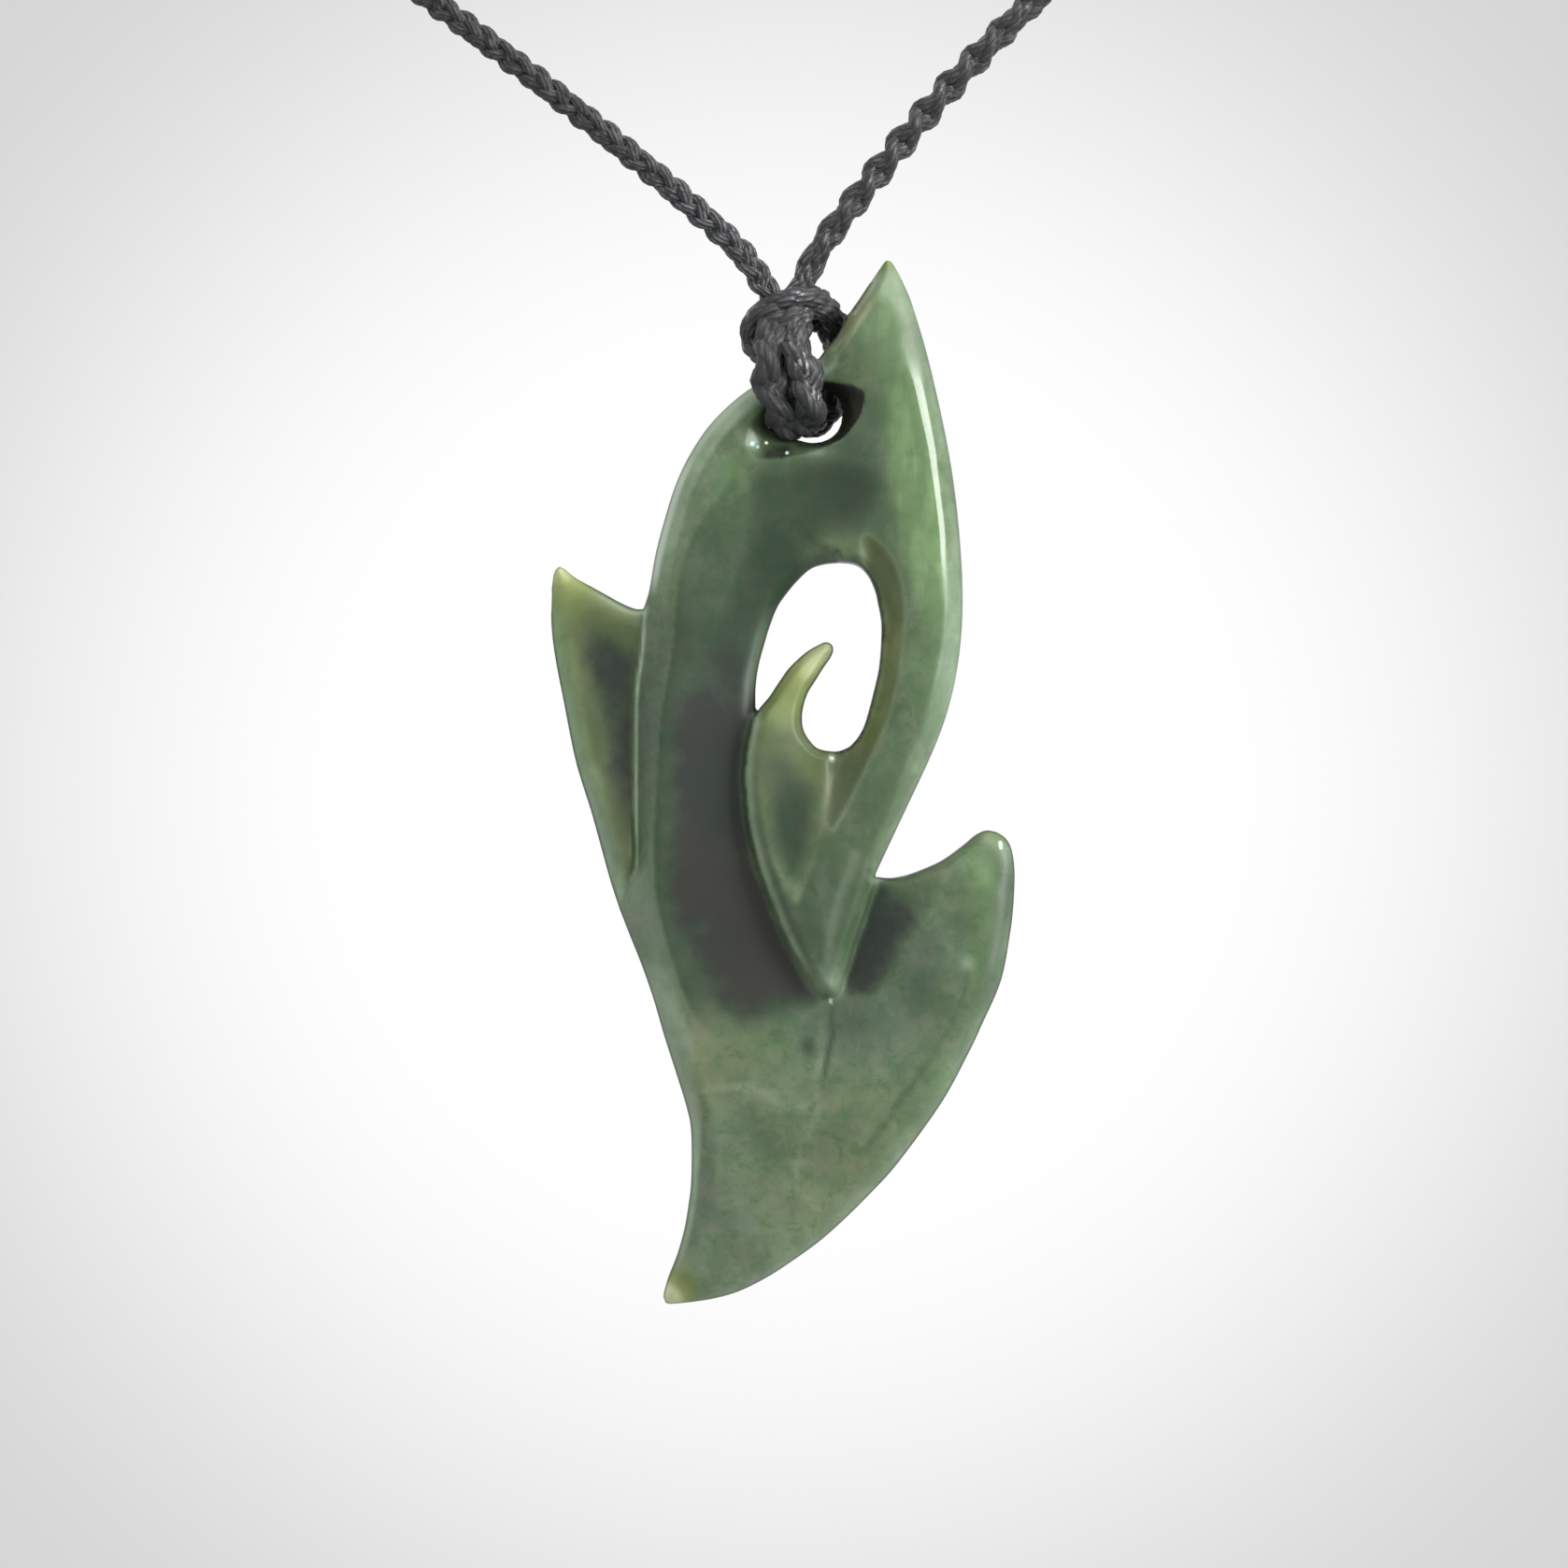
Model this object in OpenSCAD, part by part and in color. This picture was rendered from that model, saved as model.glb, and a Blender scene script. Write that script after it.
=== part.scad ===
// A carved greenstone hook pendant, hanging by its bar in a plaited neck cord.
// Millimetres. +X is to the viewer's right, +Y goes away from the viewer, from the stone towards
// the wearer's nape, and +Z is up. The origin is where the cord rests on the nape.

/* [Stone] */
// Length from the tip of the horn to the tip of the tail
stone_length = 70; // [66:1:72]
// Thickness through the raised strand
stone_thickness = 6; // [5.6:0.1:6.2]
// Length of the slot that the cord hangs in
slot_length = 8.2; // [7.8:0.1:8.4]
// Width of the slot
slot_width = 4.2; // [4.1:0.1:4.4]
// How far the slot leans up to the right, in degrees
slot_tilt = 27; // [22:1:32]

/* [Cord] */
// Diameter of the plaited cord
cord_d = 2.1; // [1.9:0.1:2.2]
// How far the stone's bar hangs below the nape
hang_drop = 125; // [110:5:150]
// How far the stone's bar hangs in front of the nape
hang_reach = 115; // [105:5:125]

/* [Knots] */
// Length of the sliding knot at the nape
slide_knot_length = 12; // [9:1:16]
// Diameter of the sliding knot at the nape
slide_knot_d = 5.4; // [5:0.2:7]

/* [Hidden] */

jade = "darkolivegreen";
black_cord = "dimgray";

// The tables below are drawn for a stone of this length and thickness.
drawn_length = 70;
drawn_thickness = 6;
length_k = stone_length / drawn_length;
depth_k = stone_thickness / drawn_thickness;

// Number of points round a section of the stone, and of steps from one rib to the next.
section_points = 14;
rib_steps = 3;
cord_sides = 8;

// Each blade of the stone is a row of ribs. Columns: left edge x and z, right edge x and z,
// then how far the rib stands forward of the stone's middle plane at its left and at its right,
// and how far it goes back. Places are measured from the middle of the bar.
body_ribs = [
    [-0.6,   0.9,   3.5,   2.4, 1.0, 1.6, 1.2],
    [-3.6,  -0.5,   5.5,   0.4, 1.7, 2.0, 1.8],
    [-4.9,  -1.6,   6.0,  -1.5, 1.9, 2.1, 1.9],
    [-6.4,  -3.3,   6.3,  -3.6, 2.1, 2.2, 2.0],
    [-7.6,  -4.7,   6.4,  -5.6, 2.2, 2.2, 2.1],
    [-8.6,  -6.6,   6.4,  -8.0, 2.3, 2.2, 2.2],
    [-9.5,  -9.6,   5.8, -10.6, 2.4, 2.1, 2.3],
    [-9.9, -11.3,   3.6, -12.2, 2.5, 1.9, 2.4],
    [-10.1, -12.8,  0.8, -12.5, 2.5, 1.7, 2.4],
    [-10.4, -14.2, -1.1, -14.1, 2.6, 1.5, 2.4],
    [-10.8, -16.4, -2.3, -16.3, 2.6, 1.2, 2.4],
    [-11.1, -19.2, -3.1, -19.2, 2.7, 1.0, 2.4],
    [-11.3, -22.6, -3.2, -22.4, 2.7, 0.8, 2.4],
    [-11.4, -26.5, -1.5, -26.0, 2.6, 0.8, 2.4],
    [-11.5, -30.5,  1.5, -30.0, 2.5, 0.8, 2.4],
    [-11.4, -34.0,  3.0, -34.0, 2.3, 0.9, 2.3],
    [-10.8, -37.5,  2.0, -39.0, 1.9, 0.9, 2.0],
    [-9.0, -41.5,  -1.0, -44.0, 1.0, 0.8, 1.2]
];
tail_ribs = [
    [12.3, -30.2, 13.0, -30.2, 0.4, 0.4, 0.4],
    [11.4, -30.6, 13.7, -31.4, 1.1, 1.1, 1.1],
    [ 9.8, -31.7, 14.0, -33.8, 1.6, 1.5, 1.6],
    [ 7.8, -32.8, 13.9, -36.8, 1.7, 1.8, 1.9],
    [ 5.4, -33.4, 13.2, -40.2, 1.3, 2.0, 2.1],
    [ 1.0, -33.2, 11.9, -43.2, 1.0, 2.1, 2.3],
    [-7.0, -35.4, 10.5, -45.9, 1.4, 2.1, 2.3],
    [-11.3, -37.6, 9.4, -48.0, 2.1, 2.1, 2.3],
    [-10.8, -39.4, 7.9, -50.1, 2.3, 2.1, 2.3],
    [-9.8, -42.5,  6.2, -52.3, 2.3, 2.1, 2.3],
    [-8.6, -46.3,  3.5, -55.3, 2.2, 2.0, 2.2],
    [-7.7, -49.8,  0.6, -57.9, 2.1, 1.9, 2.1],
    [-7.5, -53.2, -2.6, -60.0, 1.9, 1.7, 1.9],
    [-7.9, -56.4, -5.2, -61.2, 1.6, 1.4, 1.6],
    [-8.8, -59.4, -7.6, -61.6, 1.1, 1.0, 1.1],
    [-9.4, -61.3, -8.9, -61.8, 0.5, 0.5, 0.5]
];
strand_ribs = [
    [ 5.3,   8.1,  5.7,   8.1, 0.4, 0.4, 0.4],
    [ 4.6,   7.0,  6.4,   6.8, 1.0, 1.0, 1.0],
    [ 3.6,   5.3,  7.1,   5.2, 1.5, 1.7, 1.4],
    [ 2.7,   4.1,  7.8,   3.2, 1.8, 2.2, 1.7],
    [ 1.4,   2.0,  8.4,   1.0, 1.9, 2.5, 1.9],
    [ 2.4,   0.0,  8.9,  -1.4, 2.0, 2.7, 2.0],
    [ 3.8,  -3.0,  9.5,  -3.9, 2.2, 2.9, 2.2],
    [ 4.0,  -6.2,  9.9,  -6.5, 2.3, 3.1, 2.3],
    [ 4.0,  -9.6, 10.3,  -9.6, 2.4, 3.2, 2.4],
    [ 4.0, -12.4, 10.5, -12.4, 2.3, 3.3, 2.5],
    [ 4.7, -14.2, 10.6, -14.7, 2.2, 3.4, 2.6],
    [ 5.1, -17.0, 10.5, -17.6, 2.2, 3.4, 2.6],
    [ 4.8, -20.0, 10.1, -20.3, 2.3, 3.4, 2.6],
    [ 4.0, -22.8,  9.3, -23.7, 2.5, 3.4, 2.6],
    [ 2.4, -24.9,  8.0, -26.7, 2.7, 3.4, 2.5],
    [ 1.8, -27.4,  6.8, -29.2, 2.8, 3.4, 2.4],
    [ 1.0, -30.4,  5.4, -31.8, 2.9, 3.4, 2.0],
    [ 0.0, -34.0,  4.2, -34.3, 3.1, 3.4, 1.4],
    [ 0.0, -37.5,  3.1, -37.5, 3.1, 3.2, 1.0],
    [ 0.8, -40.0,  2.4, -39.8, 2.9, 2.9, 0.8],
    [ 1.3, -41.0,  1.7, -41.0, 2.5, 2.5, 0.6]
];
hook_ribs = [
    [ 1.3, -17.6,  1.9, -18.2, 0.5, 0.5, 0.3],
    [ 0.4, -17.9,  1.7, -18.8, 1.1, 1.1, 0.8],
    [-0.9, -19.1,  0.8, -20.0, 1.6, 1.6, 1.2],
    [-2.2, -20.9,  0.0, -21.4, 2.1, 2.0, 1.6],
    [-3.3, -22.6, -0.3, -22.8, 2.5, 2.2, 2.0],
    [-3.8, -24.8,  0.5, -24.4, 2.9, 2.3, 2.2],
    [-3.9, -27.0,  2.0, -25.6, 3.1, 2.3, 2.2],
    [-3.7, -29.4,  2.6, -29.0, 3.3, 2.2, 1.8],
    [-3.0, -32.4,  2.4, -32.5, 3.3, 2.4, 1.4],
    [-1.9, -35.5,  2.2, -35.6, 3.3, 2.8, 1.2],
    [-0.6, -38.3,  2.0, -38.4, 3.1, 2.9, 1.0],
    [ 0.5, -40.2,  1.9, -40.2, 2.8, 2.8, 0.8],
    [ 1.2, -41.1,  1.6, -41.1, 2.4, 2.4, 0.6]
];
left_fin_ribs = [
    [-16.8, -12.6, -16.3, -12.4, 0.2, 0.2, 0.6],
    [-17.0, -14.0, -15.3, -13.3, 0.6, 0.6, 1.1],
    [-17.1, -16.0, -13.4, -14.1, 0.9, 0.9, 1.5],
    [-16.9, -18.2, -11.3, -15.0, 1.1, 0.9, 1.8],
    [-16.5, -20.6, -10.0, -16.8, 1.2, 0.9, 1.9],
    [-15.8, -23.6,  -9.8, -21.0, 1.3, 0.9, 2.0],
    [-14.9, -27.4,  -9.8, -26.0, 1.4, 0.9, 2.0],
    [-13.9, -31.0,  -9.8, -31.0, 1.6, 1.0, 2.0],
    [-12.9, -33.8,  -9.8, -35.0, 1.8, 1.2, 2.0],
    [-12.1, -36.3,  -9.6, -38.2, 1.8, 1.4, 1.8],
    [-11.0, -38.9,  -8.8, -41.0, 1.2, 1.0, 1.2]
];

// The slot's middle, from the middle of the bar. Its rims are opened out by slot_flare from
// flare_start, measured from the stone's middle plane, to flare_end, which is past the face.
slot_at = [0.2, -3.1];
slot_flare = 2.4;
flare_start = 1.2;
flare_end = 3.2;

// Routes of the cord, as points from the middle of the bar.
left_loop_route = [
    [-2.3, -1.6,  3.4], [-2.3, -3.0,  2.4], [-2.4, -3.5,  0.8], [-2.4, -3.5, -0.8],
    [-2.3, -3.1, -2.4], [-2.1, -2.1, -3.5], [-2.0, -0.7, -4.0], [-1.9,  0.7, -4.0],
    [-1.9,  2.1, -3.5], [-1.9,  3.1, -2.4], [-1.9,  3.6, -0.8], [-2.0,  3.6,  0.8],
    [-2.1,  3.1,  2.4], [-2.2,  1.7,  3.5]
];
right_loop_route = [
    [ 0.0, -1.7,  3.2], [ 0.1, -3.0,  2.3], [ 0.2, -3.5,  0.8], [ 0.3, -3.5, -0.8],
    [ 0.4, -3.0, -2.2], [ 0.5, -2.0, -3.0], [ 0.5, -0.7, -3.4], [ 0.6,  0.7, -3.4],
    [ 0.6,  2.1, -3.0], [ 0.8,  3.3, -2.0], [ 1.1,  3.9, -0.6], [ 1.6,  4.0,  1.0],
    [ 2.1,  3.9,  2.8], [ 2.1,  3.2,  4.4], [ 1.5,  2.0,  5.3], [ 0.7,  1.4,  5.2]
];
left_leg_route = [
    [-2.0, 0,  5.0], [-2.8, 0,  6.5], [-4.7, 0,  9.0], [-9.0, 0, 12.9], [-14.0, 0, 17.0],
    [-19.6, 0.1, 21.4], [-25.4, 0.5, 25.8], [-33, 2, 31.8], [-43, 6, 41], [-52, 14, 52],
    [-59, 27, 65], [-62, 43, 79], [-60, 61, 92], [-53, 79, 104], [-41, 94, 113],
    [-26, 106, 119]
];
right_leg_route = [
    [24, 107, 119.5], [39, 96, 114], [52, 81, 106], [60, 63, 96], [62.5, 45, 85],
    [60, 29, 73], [53, 16, 62], [43.5, 7.5, 51.5], [33, 3, 41.5], [23.5, 1, 33],
    [15.2, 0.2, 25.3], [9.1, 0, 19.0], [4.3, 0, 13.2], [1.2, 0, 9.1], [-0.1, 0, 6.6],
    [-0.7, -0.3, 5.4]
];
nape_route = [[-10, 113.4, 124.2], [0, 115, 125], [9, 113.5, 124.3]];
knot_lumps = [
    [-2.3, -0.5, 3.9, 1.8], [-1.2, -0.6, 4.0, 1.7], [-2.1, 0.6, 4.1, 1.8], [-0.5, 0.5, 4.5, 1.5]
];

// The cord's routes are drawn for this reach and drop from the nape to the bar.
drawn_reach = 115;
drawn_drop = 125;
nape_y = slide_knot_d / 2;
bar = [0, nape_y - hang_reach, -hang_drop];

function unit(v) = v / norm(v);

// A point, or a whole row of a table, on the smooth curve through the rows of a table.
function between(a, b, c, d, t) =
    0.5 * (2 * b + (c - a) * t + (2 * a - 5 * b + 4 * c - d) * t * t
    + (3 * b - a - 3 * c + d) * t * t * t);

// The table with steps - 1 more rows between each two of its own, on smooth curves.
function smooth_rows(rows, steps) =
    let (last = len(rows) - 1)
    [
        for (i = [0 : last - 1], j = [0 : steps - 1])
            between(rows[max(i - 1, 0)], rows[i], rows[i + 1], rows[min(i + 2, last)], j / steps),
        rows[last]
    ];

// A power that keeps the sign, which squares off the corners of a section.
function bow(v, power) = sign(v) * pow(abs(v), power);

// The section at one rib: a squared oval from the left edge to the right edge.
function rib_section(r) =
    let (middle = ((r[4] + r[5]) / 2 - r[6]) / 2)
    [
        for (i = [0 : section_points - 1])
            let (
                angle = 360 * i / section_points,
                t = (1 - bow(cos(angle), 0.8)) / 2,
                front = r[4] + (r[5] - r[4]) * t,
                reach = sin(angle) > 0 ? front - middle : middle + r[6],
                forward = middle + reach * bow(sin(angle), 0.7)
            )
            [
                length_k * (r[0] + (r[2] - r[0]) * t),
                -depth_k * forward,
                length_k * (r[1] + (r[3] - r[1]) * t)
            ]
    ];

// A closed solid through rings of points, each ring with the same number of points.
module skin(rings) {
    n = len(rings[0]);
    last = len(rings) - 1;
    polyhedron(
        points = [for (ring = rings) each ring],
        faces = [
            [for (i = [n - 1 : -1 : 0]) i],
            for (k = [0 : last - 1], i = [0 : n - 1])
                each [
                    [k * n + i, k * n + (i + 1) % n, (k + 1) * n + i],
                    [k * n + (i + 1) % n, (k + 1) * n + (i + 1) % n, (k + 1) * n + i]
                ],
            [for (i = [0 : n - 1]) last * n + i]
        ]
    );
}

module blade(ribs) {
    skin([for (r = smooth_rows(ribs, rib_steps)) rib_section(r)]);
}

// A round tube along a route. Its rings are turned about the direction that faces names.
module tube(route, steps, faces) {
    path = smooth_rows(route, steps);
    last = len(path) - 1;
    skin([
        for (i = [0 : last])
            let (
                along = unit(path[min(i + 1, last)] - path[max(i - 1, 0)]),
                side = unit(cross(faces, along)),
                up = cross(side, along)
            )
            [
                for (j = [0 : cord_sides - 1])
                    path[i] + cord_d / 2
                    * (cos(360 * j / cord_sides) * side + sin(360 * j / cord_sides) * up)
            ]
    ]);
}

// The slot for the cord, with the rim of its front opened out. A negative side opens the back.
module slot_cut(side) {
    half = (slot_length - slot_width) / 2;
    translate([slot_at[0], 0, slot_at[1]])
        rotate([90, -slot_tilt, 0])
            scale([1, 1, side])
                for (h = [[0, flare_end, 0], [flare_start, flare_end, slot_flare]])
                    hull()
                        for (x = [-half, half])
                            translate([x, 0, h[0]])
                                cylinder(
                                    d1 = slot_width, d2 = slot_width + h[2],
                                    h = h[1] - h[0], $fn = 24
                                );
}

module stone() {
    color(jade)
        translate(bar)
            difference() {
                union() {
                    blade(body_ribs);
                    blade(tail_ribs);
                    blade(strand_ribs);
                    blade(hook_ribs);
                    blade(left_fin_ribs);
                }
                slot_cut(1);
                slot_cut(-1);
            }
}

module hanging_loop_left() {
    color(black_cord)
        translate(bar)
            tube(left_loop_route, 2, [1, 0, 0]);
}

module hanging_loop_right() {
    color(black_cord)
        translate(bar)
            tube(right_loop_route, 2, [1, 0, 0]);
}

module knot() {
    color(black_cord)
        translate(bar)
            hull()
                for (lump = knot_lumps)
                    translate([lump[0], lump[1], lump[2]])
                        sphere(r = lump[3], $fn = 24);
}

// The two legs of the cord meet at the nape, inside the sliding knot.
module neck_cord() {
    fit = [1, hang_reach / drawn_reach, hang_drop / drawn_drop];
    route = [
        for (p = concat(left_leg_route, nape_route, right_leg_route))
            [p[0], p[1] * fit[1], p[2] * fit[2]]
    ];
    color(black_cord)
        translate(bar)
            tube(route, 2, [0, -drawn_drop, drawn_reach]);
}

module slide_knot() {
    color(black_cord)
        translate([0, nape_y, 0])
            rotate([0, 90, 0])
                cylinder(d = slide_knot_d, h = slide_knot_length, center = true, $fn = 48);
}

stone();
hanging_loop_left();
hanging_loop_right();
knot();
neck_cord();
slide_knot();
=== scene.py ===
"""A carved jade koru pendant on its black plaited neck cord, dressed for a studio render."""
import math

import bpy
import numpy as np
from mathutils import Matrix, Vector


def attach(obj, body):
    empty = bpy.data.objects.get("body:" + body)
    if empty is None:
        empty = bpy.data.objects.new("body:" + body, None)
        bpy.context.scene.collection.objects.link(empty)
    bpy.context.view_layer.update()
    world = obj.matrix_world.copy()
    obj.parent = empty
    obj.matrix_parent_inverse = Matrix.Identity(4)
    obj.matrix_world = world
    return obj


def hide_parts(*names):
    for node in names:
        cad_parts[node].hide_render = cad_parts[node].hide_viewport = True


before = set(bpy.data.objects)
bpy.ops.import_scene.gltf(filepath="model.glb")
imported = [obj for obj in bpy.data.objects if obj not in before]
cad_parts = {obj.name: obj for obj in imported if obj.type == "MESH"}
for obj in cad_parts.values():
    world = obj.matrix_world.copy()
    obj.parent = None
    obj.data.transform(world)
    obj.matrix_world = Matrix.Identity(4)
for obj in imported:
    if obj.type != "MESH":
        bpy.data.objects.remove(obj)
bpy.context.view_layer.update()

# Places are in millimetres from the middle of the stone's bar, which the cord goes round,
# x to the right, y away from the viewer, z up, until a mesh is made.
MM = 0.001
BAR = np.array([0.0, -112.3, -125.0])

# The photograph: 16 of its pixels are 1 mm at the bar, and its middle lies here
PHOTO_SIDE = 1678
PIXELS_PER_MM = 16.0
VIEW_CENTRE = (-1.4, -27.0)


def camera():
    """Looks along +y at the pendant, so far off that the photograph's side spans its width in mm."""
    data = bpy.data.cameras.new("camera")
    data.lens = 100.0
    data.sensor_width = 36.0
    distance = PHOTO_SIDE / PIXELS_PER_MM * data.lens / data.sensor_width
    here = bpy.data.objects.new("camera", data)
    bpy.context.scene.collection.objects.link(here)
    x, z = VIEW_CENTRE
    here.location = Vector((BAR + [x, -distance, z]) * MM)
    here.rotation_euler = (math.radians(90.0), 0.0, 0.0)
    data.clip_start, data.clip_end = 0.01, 50.0
    bpy.context.scene.camera = here


camera()


# Curves, and shares from 0 to 1

def smooth_curve(points, steps=5):
    """A Catmull-Rom curve through the points, from the first to the last, each span cut into equal steps."""
    p = np.asarray(points, float)
    p = np.vstack([2 * p[0] - p[1], p, 2 * p[-1] - p[-2]])
    t = (np.arange(steps) / steps)[None, :, None]
    a, b, c, d = (p[k:len(p) - 3 + k][:, None, :] for k in range(4))
    spans = 0.5 * (2 * b + (c - a) * t + (2 * a - 5 * b + 4 * c - d) * t**2 + (3 * b - a - 3 * c + d) * t**3)
    return np.vstack([spans.reshape(-1, p.shape[1]), p[-2]])


def even_steps(path, step):
    """The path again with points one step apart by its own length, and each point's length along it."""
    length = np.concatenate([[0], np.cumsum(np.linalg.norm(np.diff(path, axis=0), axis=1))])
    marks = np.linspace(0, length[-1], max(2, int(round(length[-1] / step)) + 1))
    return np.stack([np.interp(marks, length, path[:, k]) for k in range(path.shape[1])], axis=1), marks


def smoothstep(low, high, v):
    """0 below low, 1 above high, and an S curve between."""
    t = np.clip((v - low) / (high - low), 0, 1)
    return t * t * (3 - 2 * t)


def fade(distance, width):
    """1 at no distance, falling as a Gaussian of that width."""
    return np.exp(-(distance / width) ** 2)


# Meshes

def mesh_object(name, points, faces, body, node, attributes, uv=None):
    """Points in mm from the bar and faces of four corners become a smooth mesh at the origin, which rides
    with the body and takes the place of the node."""
    mesh = bpy.data.meshes.new(name)
    mesh.vertices.add(len(points))
    mesh.vertices.foreach_set("co", ((points + BAR) * MM).astype(np.float32).ravel())
    mesh.loops.add(faces.size)
    mesh.loops.foreach_set("vertex_index", faces.astype(np.int32).ravel())
    mesh.polygons.add(len(faces))
    mesh.polygons.foreach_set("loop_start", np.arange(0, faces.size, 4, dtype=np.int32))
    mesh.polygons.foreach_set("use_smooth", np.ones(len(faces), bool))
    mesh.update(calc_edges=True)
    for key, values in attributes.items():
        mesh.attributes.new(key, "FLOAT", "POINT").data.foreach_set("value", values.astype(np.float32))
    if uv is not None:
        mesh.uv_layers.new(name="length").data.foreach_set("uv", uv.astype(np.float32).ravel())
    piece = bpy.data.objects.new(name, mesh)
    bpy.context.scene.collection.objects.link(piece)
    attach(piece, body)
    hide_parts(node)
    return piece


# Materials

class Value:
    """A shader socket that can be used in sums: each operator adds one Math node."""

    def __init__(self, tree, socket):
        self.tree, self.socket = tree, socket

    def join(self, operation, other, swap=False):
        pair = (other, self) if swap else (self, other)
        return self.tree.add("ShaderNodeMath", {"operation": operation}, dict(enumerate(pair)))

    def __add__(self, other):
        return self.join("ADD", other)

    def __sub__(self, other):
        return self.join("SUBTRACT", other)

    def __rsub__(self, other):
        return self.join("SUBTRACT", other, swap=True)

    def __mul__(self, other):
        return self.join("MULTIPLY", other)

    def step(self, low, high):
        """0 at low, 1 at high, straight between and held outside."""
        ends = {0: self, 1: low, 2: high, 3: 0.0, 4: 1.0}
        return self.tree.add("ShaderNodeMapRange", {"clamp": True}, ends)


class Nodes:
    """A node tree that is written in sums, and its last node, which the results feed."""

    def __init__(self, owner, last):
        owner.use_nodes = True
        self.nodes, self.links = owner.node_tree.nodes, owner.node_tree.links
        self.last = self.nodes[last]

    def add(self, kind, settings=(), inputs=(), output=0):
        """A node of that kind, its settings first, then each input's value or link."""
        node = self.nodes.new(kind)
        for key, value in dict(settings).items():
            setattr(node, key, value)
        for key, value in dict(inputs).items():
            if isinstance(value, Value):
                self.links.new(value.socket, node.inputs[key])
            else:
                node.inputs[key].default_value = value
        return Value(self, node.outputs[output])

    def feed(self, name, value):
        self.links.new(value.socket, self.last.inputs[name])

    def place(self):
        return self.add("ShaderNodeTexCoord", output="Object")

    def attribute(self, name):
        return self.add("ShaderNodeAttribute", {"attribute_name": name}, output="Fac")

    def vector(self, operation, first, second=(0.0, 0.0, 0.0), output="Vector"):
        return self.add("ShaderNodeVectorMath", {"operation": operation}, {0: first, 1: second}, output)

    def noise(self, where, scale, detail=4.0, rough=0.5, distortion=0.0):
        return self.add("ShaderNodeTexNoise", {}, {"Vector": where, "Scale": scale, "Detail": detail,
                                                   "Roughness": rough, "Distortion": distortion}, "Fac")

    def blend(self, share, first, second):
        """One colour over another by a share from 0 to 1."""
        sockets = {0: share}
        for key, colour in ((6, first), (7, second)):
            sockets[key] = colour if isinstance(colour, Value) else (*colour, 1.0)
        return self.add("ShaderNodeMix", {"data_type": "RGBA"}, sockets, 2)

    def bump(self, height, strength, distance):
        return self.add("ShaderNodeBump", {}, {"Height": height, "Strength": strength, "Distance": distance})


class Finish(Nodes):
    """A material that ends in one Principled shader."""

    def __init__(self, name, colour, **constants):
        self.material = bpy.data.materials.new(name)
        super().__init__(self.material, "Principled BSDF")
        self.material.diffuse_color = (*colour, 1.0)
        self.last.inputs["Base Color"].default_value = (*colour, 1.0)
        for key, value in constants.items():
            self.last.inputs[key.replace("_", " ")].default_value = value


# The cord: its routes repeat the solids'

LEFT_LEG = [(-2.0, 0, 5.0), (-2.8, 0, 6.5), (-4.7, 0, 9.0), (-9.0, 0, 12.9), (-14.0, 0, 17.0),
            (-19.6, 0.1, 21.4), (-25.4, 0.5, 25.8), (-33, 2, 31.8), (-43, 6, 41), (-52, 14, 52),
            (-59, 27, 65), (-62, 43, 79), (-60, 61, 92), (-53, 79, 104), (-41, 94, 113), (-26, 106, 119),
            (-10, 113.4, 124.2), (0, 115, 125)]
RIGHT_LEG = [(0, 115, 125), (9, 113.5, 124.3), (24, 107, 119.5), (39, 96, 114), (52, 81, 106),
             (60, 63, 96), (62.5, 45, 85), (60, 29, 73), (53, 16, 62), (43.5, 7.5, 51.5), (33, 3, 41.5),
             (23.5, 1, 33), (15.2, 0.2, 25.3), (9.1, 0, 19.0), (4.3, 0, 13.2), (1.2, 0, 9.1),
             (-0.1, 0, 6.6), (-0.7, -0.3, 5.4)]
LEFT_LOOP = [(-2.1, -1.6, 3.4), (-2.2, -2.9, 2.4), (-2.3, -3.4, 0.9), (-2.3, -3.4, -0.5),
             (-1.9, -3.1, -1.6), (-1.4, -2.4, -2.5), (-1.1, -1.0, -2.8), (-1.1, 0.5, -2.8),
             (-1.3, 2.0, -2.6), (-1.7, 3.1, -2.0), (-1.9, 3.6, -0.8), (-2.0, 3.6, 0.8), (-2.1, 3.1, 2.4),
             (-2.2, 1.7, 3.5)]
RIGHT_LOOP = [(-1.0, -1.7, 3.4), (-0.9, -2.9, 2.5), (-0.5, -3.6, 1.3), (0.0, -3.7, -0.1),
              (0.2, -3.3, -1.5), (0.1, -2.3, -2.3), (0.0, -0.8, -2.6), (0.3, 0.7, -2.5), (1.0, 2.1, -2.1),
              (1.9, 3.3, -1.0), (2.5, 3.9, 0.4), (2.5, 3.9, 1.8), (2.3, 3.4, 3.0), (1.8, 2.4, 4.1),
              (0.9, 1.4, 4.6)]
# Where the knot and loops show wear and painted glints: (x, z, radius, share)
WEAR_AND_GLINT_SPOTS = [(-0.4, 5.3, 0.7, 1.3), (0.1, 4.5, 0.4, 1.1), (-1.2, 4.9, 0.6, 0.7), (-0.6, 2.2, 0.6, 1.1),
              (-0.1, 0.8, 0.8, 1.3), (0.3, -0.3, 0.6, 1.3), (0.8, -1.4, 0.7, 1.2), (-0.6, 3.2, 0.5, 0.8),
              (-2.5, -0.4, 0.4, 0.7), (-2.0, -0.9, 0.5, 0.7), (-1.5, 2.5, 0.9, 0.6),
              (-2.9, 1.6, 0.8, 0.45), (-1.6, 1.2, 0.6, 0.5), (-2.6, 5.2, 0.9, 0.35), (1.4, 4.8, 0.6, 0.4),
              (-3.5, 3.4, 0.6, 0.3)]
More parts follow.
